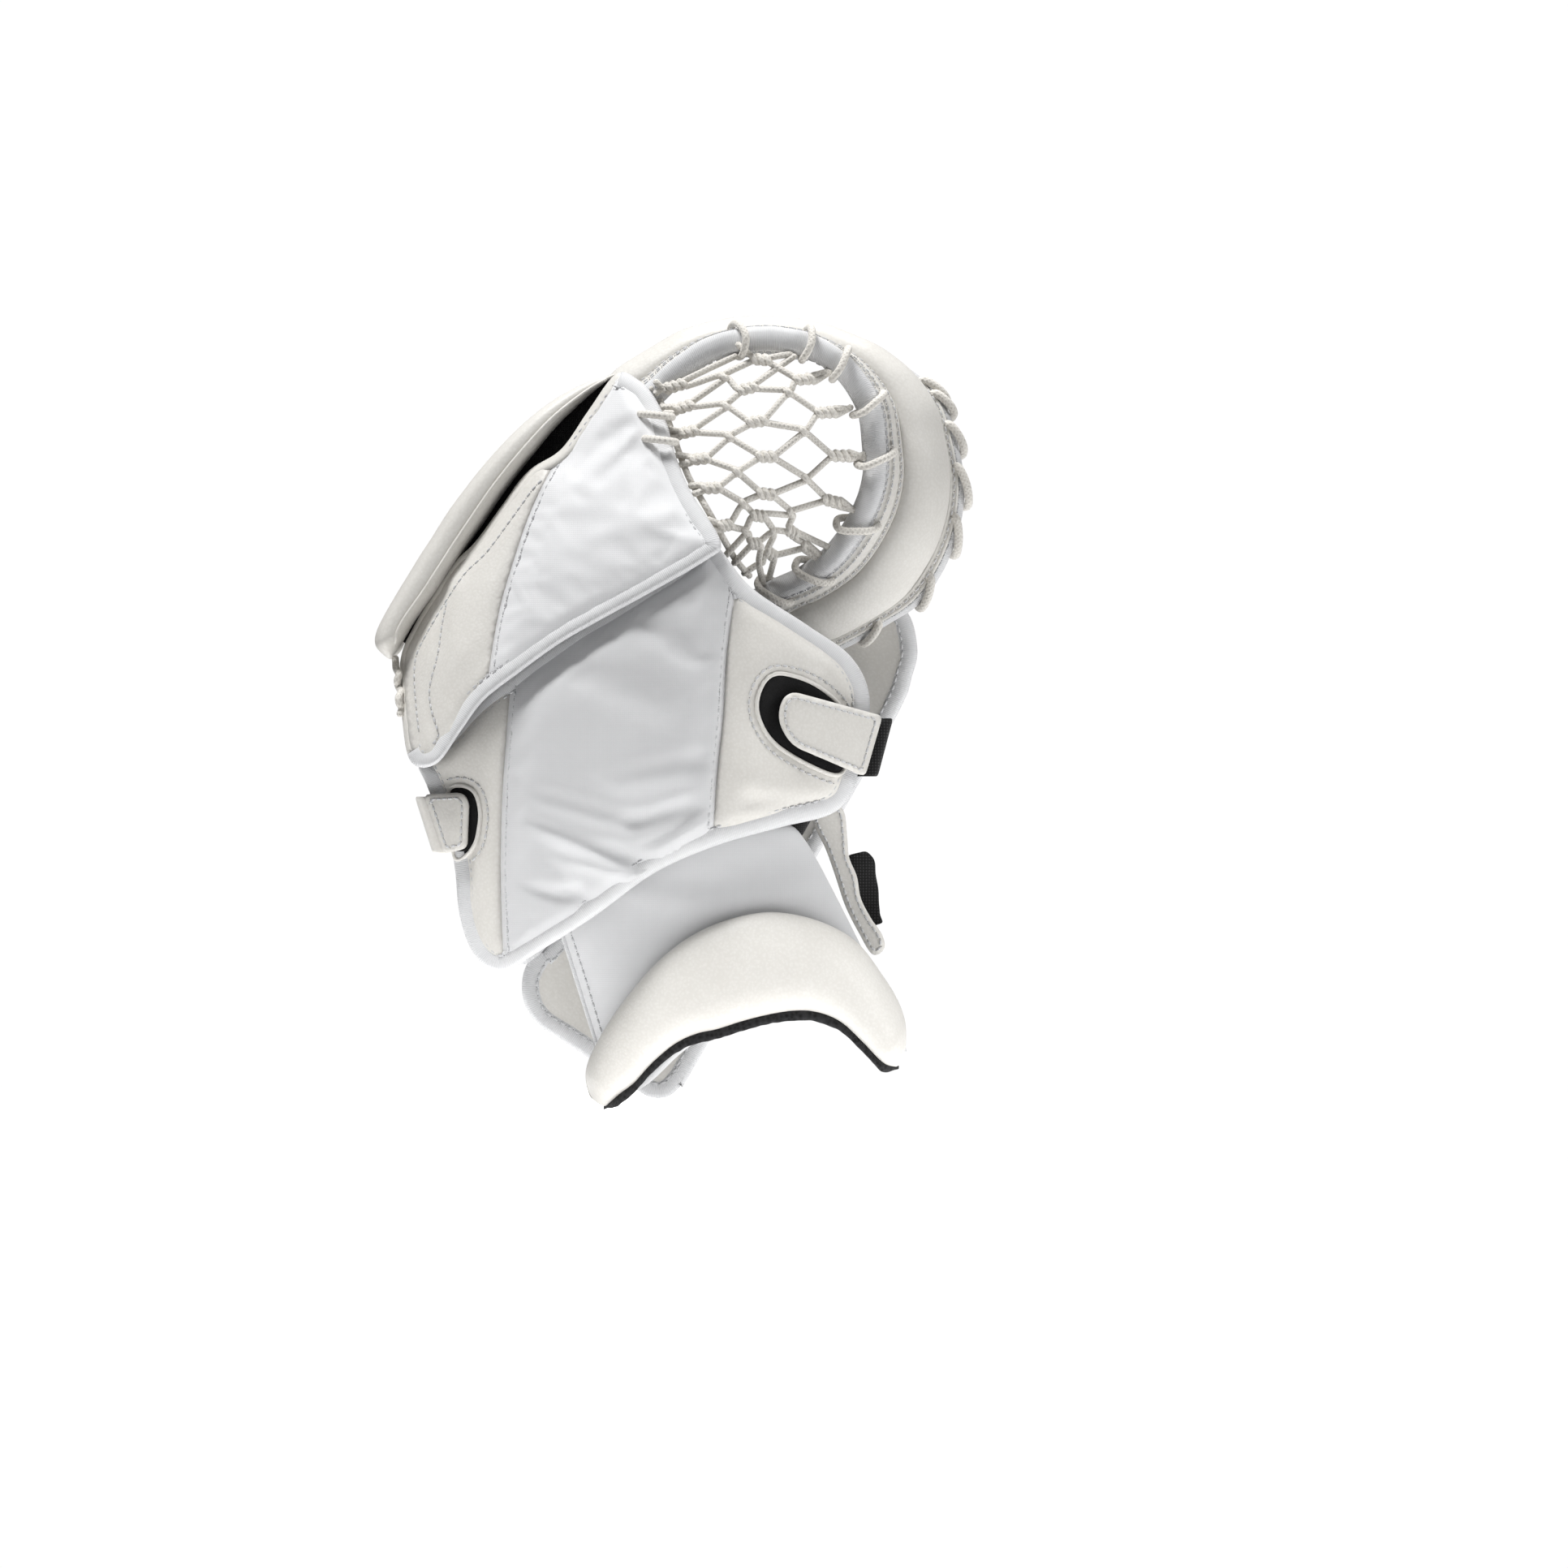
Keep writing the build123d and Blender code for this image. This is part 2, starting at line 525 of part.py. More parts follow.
ROLL_INSIDE = ROLL_GAP + LINING + GAP
with BuildPart() as roll_foam:
    sleeve_layer(ROLL, ROLL_INSIDE, ROLL_DEPTH - LEATHER - GAP)
save(roll_foam, "roll_foam")

with BuildPart() as roll_leather:
    sleeve_layer(ROLL, ROLL_DEPTH - LEATHER, ROLL_DEPTH)
save(roll_leather, "roll_leather")

# ---- strap tabs, bands and the wrist tab ---------------------------------------------------------
for prefix, tab_outline, strap_outline in (("thumb", THUMB_TAB, THUMB_STRAP), ("side", SIDE_TAB, SIDE_STRAP)):
    with BuildPart() as tab:
        pad_layer(tab_outline, HAND_BACK, -TAB_TOP, -TAB_LIFT - HOOK_DEPTH, 3)
    save(tab, f"{prefix}_tab")
    with BuildPart() as hook:
        pad_layer(tab_outline, HAND_BACK, -TAB_LIFT - HOOK_DEPTH + 0.05, -TAB_LIFT, 3, 3)
    save(hook, f"{prefix}_tab_hook")
    with BuildPart() as strap:
        pad_layer(strap_outline, HAND_BACK, HAND_DEPTH + 1.5, HAND_DEPTH + 1.5 + STRAP_DEPTH, 3)
    save(strap, f"{prefix}_strap")

with BuildPart() as wrist_tab:
    extrude(flat_face(WRIST_TAB, WRIST_TAB_FAR, 2), amount=LEATHER)
save(wrist_tab, "wrist_tab")

with BuildPart() as wrist_webbing:
    extrude(flat_face(WEBBING, WRIST_TAB_FAR + GAP + STRAP_DEPTH, 2), amount=STRAP_DEPTH)
save(wrist_webbing, "wrist_webbing")
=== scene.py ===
import json
import math

import bmesh
import bpy
import numpy as np
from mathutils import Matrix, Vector, noise
from mathutils.geometry import delaunay_2d_cdt


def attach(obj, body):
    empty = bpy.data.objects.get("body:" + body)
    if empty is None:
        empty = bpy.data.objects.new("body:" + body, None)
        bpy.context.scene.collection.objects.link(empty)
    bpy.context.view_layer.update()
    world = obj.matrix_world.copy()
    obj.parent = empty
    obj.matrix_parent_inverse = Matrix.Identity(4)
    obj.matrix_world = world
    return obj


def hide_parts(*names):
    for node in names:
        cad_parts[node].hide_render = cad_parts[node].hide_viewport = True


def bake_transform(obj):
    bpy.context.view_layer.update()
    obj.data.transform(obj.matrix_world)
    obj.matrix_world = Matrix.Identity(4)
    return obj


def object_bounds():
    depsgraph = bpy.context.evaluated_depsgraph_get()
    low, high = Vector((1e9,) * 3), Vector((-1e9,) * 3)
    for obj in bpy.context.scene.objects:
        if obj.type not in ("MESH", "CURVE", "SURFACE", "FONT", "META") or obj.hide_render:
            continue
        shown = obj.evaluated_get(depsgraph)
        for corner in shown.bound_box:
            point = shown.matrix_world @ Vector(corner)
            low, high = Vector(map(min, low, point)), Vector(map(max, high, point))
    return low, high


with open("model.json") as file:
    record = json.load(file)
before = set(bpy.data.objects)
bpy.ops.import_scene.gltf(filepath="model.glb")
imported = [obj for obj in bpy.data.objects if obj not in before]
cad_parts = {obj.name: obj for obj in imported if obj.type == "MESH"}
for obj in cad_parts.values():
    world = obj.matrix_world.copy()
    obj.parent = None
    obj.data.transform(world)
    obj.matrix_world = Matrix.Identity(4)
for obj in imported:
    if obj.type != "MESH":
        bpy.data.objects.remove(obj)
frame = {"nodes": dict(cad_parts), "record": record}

cad_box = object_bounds()

# Lengths in this script are millimetres until a mesh is made; MM turns them into metres.
MM = 0.001
UP = np.array([0.0, 0.0, 1.0])
BACK = np.array([0.0, -1.0, 0.0])        # out of the back of the hand

# ---- the fold across the knuckles ----------------------------------------------------------------
HINGE = next(j for j in frame["record"]["behaviour"]["joints"] if j["name"] == "pocket_close")
KNUCKLE = np.array(HINGE["pos_m"])[[0, 2]] / MM
ALONG = -np.array(HINGE["axis"])[[0, 2]]
ALONG = ALONG / np.linalg.norm(ALONG)
ACROSS = np.array([-ALONG[1], ALONG[0]])      # from the palm towards the fingertips


# ==== curves and numbers ==========================================================================
def smooth(points, closed=False, per=8):
    """A Catmull-Rom curve through the points."""
    pts = np.array(points, float)
    n = len(pts)
    out = []
    for i in range(n if closed else n - 1):
        if closed:
            a, b, c, d = (pts[(i + k) % n] for k in (-1, 0, 1, 2))
        else:
            a, b, c, d = (pts[min(max(i + k, 0), n - 1)] for k in (-1, 0, 1, 2))
        for t in np.arange(per) / per:
            out.append(0.5 * (2 * b + (c - a) * t + (2 * a - 5 * b + 4 * c - d) * t * t
                              + (3 * b - a - 3 * c + d) * t ** 3))
    if not closed:
        out.append(pts[-1])
    return np.array(out)


def shut(loop):
    """A closed loop with its first point again at its end."""
    return np.vstack([loop, loop[:1]])


def lengths(path, closed=False):
    """The distance along a path to each of its points."""
    steps = np.linalg.norm(np.diff(shut(path) if closed else path, axis=0), axis=1)
    return np.concatenate([[0], np.cumsum(steps)])


def even(path, step, closed=False):
    """The path with points a step apart."""
    path = np.asarray(path, float)
    run = lengths(path, closed)
    full = shut(path) if closed else path
    count = max(3, int(round(run[-1] / step)))
    at = np.linspace(0, run[-1], count + 1)
    if closed:
        at = at[:-1]
    return np.stack([np.interp(at, run, full[:, k]) for k in range(full.shape[1])], axis=1)


def curve(points, step=3.0, closed=False):
    """A smooth curve through the points, in even steps."""
    return even(smooth(points, closed), step, closed)


def spread(path, count):
    """The path as the given number of evenly spaced points."""
    path = np.asarray(path, float)
    run = lengths(path)
    return np.stack([np.interp(np.linspace(0, 1, count), run / run[-1], path[:, k])
                     for k in range(path.shape[1])], axis=1)


def tangents(path, closed=False):
    """The direction of a path at each of its points."""
    if closed:
        t = np.roll(path, -1, axis=0) - np.roll(path, 1, axis=0)
    else:
        t = np.gradient(path, axis=0)
    return t / np.maximum(np.linalg.norm(t, axis=1, keepdims=True), 1e-9)


def soften(values, reach, closed=False):
    """Averages neighbours along a path."""
    out = np.array(values, float)
    for _ in range(reach):
        if closed:
            out = (np.roll(out, 1, axis=0) + 2 * out + np.roll(out, -1, axis=0)) / 4
        else:
            padded = np.concatenate([out[:1], out, out[-1:]])
            out = (padded[:-2] + 2 * padded[1:-1] + padded[2:]) / 4
    return out


def distance(points, path, closed=False):
    """Shortest distance from each flat point to a path."""
    points = np.asarray(points, float)
    a = path if closed else path[:-1]
    b = np.roll(path, -1, axis=0) if closed else path[1:]
    d = b - a
    square = np.maximum((d * d).sum(1), 1e-9)
    best = np.full(len(points), 1e9)
    batch = 4000
    for start in range(0, len(points), batch):
        p = points[start:start + batch]
        t = np.clip(((p[:, None] - a) * d).sum(2) / square, 0, 1)
        gap = p[:, None] - (a + t[..., None] * d)
        best[start:start + batch] = np.sqrt((gap * gap).sum(2)).min(1)
    return best


def inside(points, loop):
    """Whether each flat point is inside a closed loop."""
    x, z = np.asarray(points, float).T
    hit = np.zeros(len(x), bool)
    for (ax, az), (bx, bz) in zip(loop, np.roll(loop, -1, axis=0)):
        crosses = (az > z) != (bz > z)
        hit ^= crosses & (x < (bx - ax) * (z - az) / ((bz - az) or 1e-9) + ax)
    return hit


def ease(t):
    """A smooth step from 0 to 1."""
    t = np.clip(t, 0, 1)
    return t * t * (3 - 2 * t)


def wobble(*place):
    """Smooth noise from -1 to 1 at a place."""
    return noise.noise(Vector(place))


def ripple(points, size, seed=0.0):
    """Smooth noise over flat points, with features of about the given size."""
    return np.array([wobble(p[0] / size + seed, p[1] / size - seed, seed) for p in points])


def arc(x, middle, radius):
    """How far a round-backed surface falls away to each side of its middle."""
    return radius - np.sqrt(radius * radius - (x - middle) ** 2)


def ridge(points, start, end, width):
    """A soft crease: 1 on the line from start to end, fading over width and at both ends."""
    p = np.asarray(points, float)
    a, b = np.array(start, float), np.array(end, float)
    d = b - a
    t = ((p - a) @ d) / (d @ d)
    off = np.linalg.norm(p - (a + np.clip(t, 0, 1)[:, None] * d), axis=1)
    ends = ease(np.clip(t + 0.15, 0, 0.3) / 0.3) * ease(np.clip(1.15 - t, 0, 0.3) / 0.3)
    return np.exp(-(off / width) ** 2) * ends


def join(flat, y):
    """Points on the X-Z plane and their depths, as points in space."""
    flat = np.asarray(flat, float)
    return np.stack([flat[:, 0], np.broadcast_to(y, len(flat)), flat[:, 1]], axis=1)


def shift(path, amount, closed=False, soft=3):
    """A flat path moved sideways; positive is to the left of its run."""
    t = soften(tangents(path, closed), soft, closed)
    t = t / np.linalg.norm(t, axis=1, keepdims=True)
    return path + amount * np.stack([-t[:, 1], t[:, 0]], axis=1)


# ==== meshes ======================================================================================
def make(name, verts, faces, finish, uv=None):
    """An object at the origin from points in millimetres. uv is one pair per face corner, in metres."""
    mesh = bpy.data.meshes.new(name)
    mesh.from_pydata((np.asarray(verts, float) * MM).tolist(), [], faces)
    if uv is not None:
        layer = mesh.uv_layers.new(name="UVMap")
        layer.data.foreach_set("uv", np.asarray(uv, np.float32).ravel())
    for mat in finish if isinstance(finish, (list, tuple)) else [finish]:
        mesh.materials.append(mat)
    mesh.polygons.foreach_set("use_smooth", [True] * len(mesh.polygons))
    mesh.update()
    obj = bpy.data.objects.new(name, mesh)
    bpy.context.scene.collection.objects.link(obj)
    return obj


def outward(obj):
    """Turns all faces of a closed mesh outwards."""
    bm = bmesh.new()
    bm.from_mesh(obj.data)
    bmesh.ops.recalc_face_normals(bm, faces=bm.faces)
    bm.to_mesh(obj.data)
    bm.free()
    return obj


def apply_all(obj):
    """Applies the object's modifier stack."""
    graph = bpy.context.evaluated_depsgraph_get()
    done = bpy.data.meshes.new_from_object(obj.evaluated_get(graph), depsgraph=graph)
    obj.modifiers.clear()
    old = obj.data
    obj.data = done
    done.name = old.name
    bpy.data.meshes.remove(old)
    return obj


def billow(obj, edge):
    """Lets a panel grow a little and fill out as cloth, held along its border and under the edge tape."""
    growth, pressure, frames = 0.008, 1.0, 14
    rise, sink, held = 4.0, 0.7, 10.5      # how far it may move out and in; how wide a border is held
    bm = bmesh.new()
    bm.from_mesh(obj.data)
    border = {v.index for v in bm.verts if v.is_boundary}
    bm.free()
    before = np.array([v.co[:] for v in obj.data.vertices])
    taped = np.flatnonzero(distance(before[:, [0, 2]] / MM, edge, True) < held)
    pins = obj.vertex_groups.new(name="sewn")
    pins.add(sorted(border.union(taped.tolist())), 1.0, "REPLACE")
    cloth = obj.modifiers.new("Cloth", "CLOTH")
    settings = cloth.settings
    settings.vertex_group_mass = "sewn"
    settings.quality = 6
    settings.mass = 0.2
    settings.tension_stiffness = settings.compression_stiffness = 15
    settings.shear_stiffness = 8
    settings.bending_stiffness = 9.0
    settings.shrink_min = -growth
    settings.use_pressure = True
    settings.uniform_pressure_force = pressure
    settings.effector_weights.gravity = 0
    cloth.point_cache.frame_end = frames
    scene = bpy.context.scene
    for frame_number in range(1, frames + 1):
        scene.frame_set(frame_number)
    graph = bpy.context.evaluated_depsgraph_get()
    after = np.array([v.co[:] for v in obj.evaluated_get(graph).data.vertices])
    move = after - before
    size = np.maximum(np.linalg.norm(move, axis=1, keepdims=True), 1e-9)
    move *= np.minimum(size, rise * MM) / size
    move[:, 1] = np.minimum(move[:, 1], sink * MM)
    obj.modifiers.remove(cloth)
    obj.vertex_groups.clear()
    obj.data.vertices.foreach_set("co", (before + move).ravel())
    obj.data.update()
    scene.frame_set(1)


def modifier(obj, kind, **values):
    m = obj.modifiers.new(kind.title(), kind)
    for key, value in values.items():
        setattr(m, key, value)


def subdivide(obj, levels=1):
    modifier(obj, "SUBSURF", levels=levels, render_levels=levels)
    return obj


def thicken(obj, thick):
    """Gives an open skin a thickness, half on each side, and rounds it."""
    modifier(obj, "SOLIDIFY", thickness=thick * MM, offset=0)
    return subdivide(obj)


def grid(name, rings, finish, wrap=True, loop=False):
    """A skin over rings of points: wrap closes each ring, loop joins the last ring to the first."""
    rings = [np.asarray(r, float) for r in rings]
    n, k = len(rings), len(rings[0])
    verts = np.vstack(rings)
    middle = np.array([r.mean(0) for r in rings])
    run = lengths(middle, loop) * MM
    girth = lengths(rings[n // 2], wrap) * MM
    faces, uv = [], []
    for i in range(n if loop else n - 1):
        j = (i + 1) % n
        for a in range(k if wrap else k - 1):
            b = (a + 1) % k
            faces.append((i * k + a, i * k + b, j * k + b, j * k + a))
            g = girth[a + 1]
            uv += [(girth[a], run[i]), (g, run[i]), (g, run[i + 1]), (girth[a], run[i + 1])]
    if wrap and not loop:
        for ring, base in ((0, 0), (n - 1, (n - 1) * k)):
            centre = len(verts)
            verts = np.vstack([verts, rings[ring].mean(0)])
            for a in range(k):
                b = (a + 1) % k
                faces.append((base + b, base + a, centre) if ring == 0 else (base + a, base + b, centre))
                uv += [(girth[a], run[ring]), (girth[a + 1], run[ring]), (girth[a], run[ring])]
    obj = make(name, verts, faces, finish, uv)
    return outward(obj) if wrap else obj


def tube(name, path, radius, finish, sides=10, closed=False):
    """A round cord along a path, with rounded ends; radius may be one value per point."""
    path = np.asarray(path, float)
    t = tangents(path, closed)
    radius = np.broadcast_to(radius, len(path))
    side = np.cross(t[0], [0.3, 1.0, 0.2])
    rings = []
    for p, along, r in zip(path, t, radius):
        side = side - along * (side @ along)
        side = side / np.linalg.norm(side)
        other = np.cross(along, side)
        angle = np.arange(sides) * 2 * math.pi / sides
        rings.append(p + r * (np.cos(angle)[:, None] * side + np.sin(angle)[:, None] * other))
    if not closed:
        first, last = rings[0], rings[-1]
        rings = [path[0] + 0.55 * (first - path[0]) - t[0] * radius[0] * 0.6] + rings
        rings.append(path[-1] + 0.55 * (last - path[-1]) + t[-1] * radius[-1] * 0.6)
    return grid(name, rings, finish, loop=closed)


def merge(name, objs):
    """Joins several pieces of one kind into one object."""
    verts, faces, uvs, mats, slots = [], [], [], [], []
    count = 0
    for o in objs:
        me = o.data
        co = np.empty(len(me.vertices) * 3)
        me.vertices.foreach_get("co", co)
        verts.append(co.reshape(-1, 3) / MM)
        local = []
        for mat in me.materials:
            if mat not in mats:
                mats.append(mat)
            local.append(mats.index(mat))
        for p in me.polygons:
            faces.append([v + count for v in p.vertices])
            slots.append(local[p.material_index])
        if me.uv_layers:
            uv = np.empty(len(me.loops) * 2)
            me.uv_layers[0].data.foreach_get("uv", uv)
            uvs.append(uv.reshape(-1, 2))
        count += len(me.vertices)
        bpy.data.objects.remove(o)
    obj = make(name, np.vstack(verts), faces, mats, np.vstack(uvs) if uvs else None)
    obj.data.polygons.foreach_set("material_index", slots)
    return obj


def patch(name, loop, height, finish, step=3.5, thick=2.0, edge=None):
    """A panel: the flat loop filled with a fine net, lifted by height(points), and given a thickness.

    A panel with an edge, its pad's outline, fills out as cloth.
    """
    loop = np.asarray(loop, float)
    low, high = loop.min(0), loop.max(0)
    xs = np.arange(low[0], high[0], step)
    zs = np.arange(low[1], high[1], step * 0.87)
    net = np.array([(x + (row % 2) * step / 2, z) for row, z in enumerate(zs) for x in xs])
    net = net[inside(net, loop)]
    net = net[distance(net, loop, True) > 0.55 * step]
    points = np.vstack([loop, net])
    n = len(loop)
    edges = [(i, (i + 1) % n) for i in range(n)]
    flat, _, tris, *_ = delaunay_2d_cdt([Vector(p) for p in points], edges, [], 1, 1e-4)
    flat = np.array([(v.x, v.y) for v in flat])
    faces = []
    for tri in tris:
        a, b, c = (flat[i] for i in tri)
        turn = (b[0] - a[0]) * (c[1] - a[1]) - (b[1] - a[1]) * (c[0] - a[0])
        faces.append(tuple(tri) if turn > 0 else tuple(reversed(tri)))
    uv = [flat[i] * MM for tri in faces for i in tri]
    obj = make(name, join(flat, height(flat)), faces, finish, uv)
    if edge is not None:
        billow(obj, edge)
    modifier(obj, "SOLIDIFY", thickness=thick * MM, offset=-1)
    return obj


def tape(name, path, inward, depth, finish, width, half, closed):
    """A folded edge tape round a pad: path is the pad's edge in space, half its half thickness there."""
    profile = np.array([(width, -half - 0.35), (width - 0.9, -half - 1.2), (width * 0.55, -half - 1.75),
                        (1.6, -half - 1.3), (-0.1, -half * 0.72), (-0.7, 0), (-0.1, half * 0.72),
                        (1.6, half + 1.3), (width * 0.55, half + 1.6), (width - 0.9, half + 1.1),
                        (width, half + 0.3), (width, half - 0.6), (2.2, half - 0.6), (2.2, -half + 0.6),
                        (width, -half + 0.6)])
    rings = []
    for i, (p, n, d) in enumerate(zip(path, inward, depth)):
        crumple = 0.35 * wobble(i * 0.31, half, width)
        rings.append([p + n * a + d * (b - crumple * (b < 0)) for a, b in profile])
    return grid(name, rings, finish, loop=closed)


STITCH = 4.4          # from one stitch to the next
TAB_STITCH = 3.6      # the same on the tabs
SPAN = 2.8            # length of a stitch
THREAD = 0.58         # half width of a stitch


def stitches(name, path, normals, pitch=STITCH, closed=False):
    """Lockstitches along a path in space: short threads, greyed with painted shade, with a needle hole at
    each end, each hole a small dark spot of painted shade.
    """
    line = even(path, pitch, closed)
    source = np.asarray(path, float)
    ups = np.asarray(normals, float)
    corners = [(math.cos(k * math.pi / 3), math.sin(k * math.pi / 3)) for k in range(6)]
    verts, faces, slots = [], [], []

    def prism(rings, slot):
        base = len(verts)
        last = base + 6 * (len(rings) - 1)
        verts.extend(corner for ring in rings for corner in ring)
        for low in range(base, last, 6):
            for k in range(6):
                m = (k + 1) % 6
                faces.append((low + k, low + m, low + 6 + m, low + 6 + k))
        faces.append(tuple(range(base + 5, base - 1, -1)))
        faces.append(tuple(range(last, last + 6)))
        slots.extend([slot] * (last - base + 2))

    for p, along in zip(line, tangents(line, closed)):
        up = ups[np.argmin(((source - p) ** 2).sum(1))]
        up = up - along * (up @ along)
        up = up / max(np.linalg.norm(up), 1e-6)
        side = np.cross(along, up)
        prism([[p + along * s * SPAN + size * THREAD * (c * side + 0.62 * n * up) + up * (0.12 * size)
                for c, n in corners] for s, size in ((-0.5, 0.25), (-0.3, 1.0), (0.3, 1.0), (0.5, 0.25))], 0)
        # The needle hole: a small dark prism, painted shade for the hole.
        spot = p + along * pitch / 2
        prism([[spot + size * (c * along + n * side) + up * h for c, n in corners]
               for h, size in ((-0.3, 0.3), (0.06, 0.26))], 1)
    obj = make(name, np.array(verts), faces, [THREAD_WITH_PAINTED_SHADE, NEEDLE_HOLE_PAINTED_SHADE])
    obj.data.polygons.foreach_set("material_index", slots)
    return outward(obj)


def label(nodes):
    """Hides the CAD nodes that the piece stands for."""
    if nodes:
        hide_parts(*nodes)


def ride(obj, body, slot_name, *nodes):
    """A finished piece that moves with one body."""
    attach(obj, body)
    label(nodes)


def fold(obj, slot_name, *nodes):
    """A finished piece with its modifiers applied, its place baked into its mesh and its CAD nodes hidden."""
    apply_all(obj)
    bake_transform(obj)
    label(nodes)


# ==== materials ===================================================================================
class Finish:
    """A material being built: its shader, its coordinates and short calls for its nodes."""

    def __init__(self, name, color, rough, coords="Object", **sockets):
        self.mat = bpy.data.materials.new(name)
        self.mat.use_nodes = True
        self.tree = self.mat.node_tree
        self.shader = self.tree.nodes["Principled BSDF"]
        self.set(self.shader, **{"Base Color": (*color, 1), "Roughness": rough, **sockets})
        self.at = self.add("ShaderNodeTexCoord").outputs[coords]
        self.last = None

    def add(self, kind, **values):
        node = self.tree.nodes.new(kind)
        for key, value in values.items():
            setattr(node, key, value)
        return node

    def set(self, node, **values):
        for key, value in values.items():
            node.inputs[key].default_value = value
        return node

    def link(self, a, b):
        self.tree.links.new(a, b)

    def noise(self, scale, detail=3.0, rough=0.5):
        node = self.set(self.add("ShaderNodeTexNoise"), Scale=scale, Detail=detail, Roughness=rough)
        self.link(self.at, node.inputs["Vector"])
        return node.outputs["Fac"]

    def cells(self, scale, feature="SMOOTH_F1"):
        node = self.set(self.add("ShaderNodeTexVoronoi", feature=feature), Scale=scale)
        self.link(self.at, node.inputs["Vector"])
        return node.outputs["Distance"]

    def wave(self, pitch, axis, turn=0.0):
        """Even ridges a pitch apart, in millimetres, turned about Z."""
        turned = self.set(self.add("ShaderNodeMapping"), Rotation=(0, 0, turn))
        self.link(self.at, turned.inputs["Vector"])
        node = self.add("ShaderNodeTexWave", bands_direction=axis)
        self.set(node, Scale=2 * math.pi / (20 * pitch * MM))
        self.link(turned.outputs["Vector"], node.inputs["Vector"])
        return node.outputs["Fac"]

    def math(self, kind, a, b):
        node = self.add("ShaderNodeMath", operation=kind)
        for socket, value in zip(node.inputs, (a, b)):
            if isinstance(value, (int, float)):
                socket.default_value = value
            else:
                self.link(value, socket)
        return node.outputs[0]

    def ramp(self, fac, low, high, dark, light):
        node = self.add("ShaderNodeValToRGB")
        for stop, place, color in zip(node.color_ramp.elements, (low, high), (dark, light)):
            stop.position = place
            stop.color = (*color, 1)
        self.link(fac, node.inputs["Fac"])
        return node.outputs["Color"]

    def color(self, fac, low, high, dark, light):
        self.link(self.ramp(fac, low, high, dark, light), self.shader.inputs["Base Color"])
        return self

    def tint(self, fac, low, high, dark, light):
        """Multiplies the colour made so far by a second pattern."""
        mix = self.add("ShaderNodeMix", data_type="RGBA", blend_type="MULTIPLY")
        mix.inputs["Factor"].default_value = 1.0
        base = self.shader.inputs["Base Color"]
        self.link(base.links[0].from_socket, mix.inputs[6])
        self.link(self.ramp(fac, low, high, dark, light), mix.inputs[7])
        self.link(mix.outputs[2], base)
        return self

    def rough(self, fac, low, high):
        node = self.add("ShaderNodeMapRange")
        self.set(node, **{"To Min": low, "To Max": high})
        self.link(fac, node.inputs["Value"])
        self.link(node.outputs["Result"], self.shader.inputs["Roughness"])
        return self

    def bump(self, fac, height, strength=1.0):
        """Raises the surface by a pattern; height is in millimetres. Calls add up."""
        node = self.set(self.add("ShaderNodeBump"), Distance=height * MM, Strength=strength)
        self.link(fac, node.inputs["Height"])
        if self.last:
            self.link(self.last, node.inputs["Normal"])
        self.last = node.outputs["Normal"]
        self.link(self.last, self.shader.inputs["Normal"])
        return self


def surface(specular, sheen, sheen_rough):
    """The sockets that a cloth or a leather has in common."""
    return {"Specular IOR Level": specular, "Sheen Weight": sheen, "Sheen Roughness": sheen_rough}


def leather(name, light, dark, rough=0.5):
    """Pebbled synthetic leather: fine cells, faint wrinkling, soft sheen."""
    f = Finish(name, light, rough, **{"Coat Weight": 0.06, "Coat Roughness": 0.4}, **surface(0.42, 0.05, 0.5))
    f.color(f.noise(26, 4), 0.32, 0.68, dark, light)
    grain = f.cells(720)
    f.tint(grain, 0.0, 0.55, (1, 1, 1), (0.93, 0.925, 0.915))
    f.rough(f.noise(160, 3), rough - 0.08, rough + 0.1)
    f.bump(f.noise(55, 3), 0.9, 0.35)
    f.bump(grain, 0.22, 0.55)
    f.bump(f.noise(2600, 2), 0.05, 0.5)
    return f.mat


def woven(name, light, dark, pitch=1.05, rough=0.62):
    """Plain-woven nylon: two sets of threads, with a slight satin."""
    f = Finish(name, light, rough, **surface(0.35, 0.18, 0.45))
    threads = f.math("MULTIPLY", f.wave(pitch, "X"), f.wave(pitch, "Z"))
    f.color(f.noise(20, 4), 0.3, 0.7, dark, light)
    f.tint(threads, 0.0, 0.45, (0.972, 0.973, 0.976), (1, 1, 1))
    f.rough(f.noise(120, 2), rough - 0.06, rough + 0.08)
    f.bump(f.noise(38, 3), 1.1, 0.35)
    f.bump(threads, 0.1, 0.5)
    return f.mat


def ribbed(name, light, dark, pitch=0.95):
    """Edge tape: ribs across its run, from the piece's own map."""
    f = Finish(name, light, 0.6, "UV", **surface(0.35, 0.2, 0.4))
    ribs = f.wave(pitch, "Y")
    f.color(f.noise(60, 4), 0.3, 0.7, dark, light)
    f.tint(ribs, 0.0, 0.6, (0.91, 0.91, 0.915), (1, 1, 1))
    f.bump(f.noise(110, 3), 0.7, 0.4)
    f.bump(ribs, 0.16, 0.6)
    return f.mat


def braid(name, light, dark, pitch=1.7):
    """Braided lace: two sets of strands that spiral opposite ways."""
    f = Finish(name, light, 0.66, "UV", **surface(0.3, 0.25, 0.5))
    plait = f.math("MAXIMUM", f.wave(pitch, "Y", 0.7), f.wave(pitch, "Y", -0.7))
    f.color(plait, 0.35, 0.9, dark, light)
    f.bump(plait, 0.28, 0.8)
    f.bump(f.noise(900, 2), 0.1, 0.6)
    return f.mat


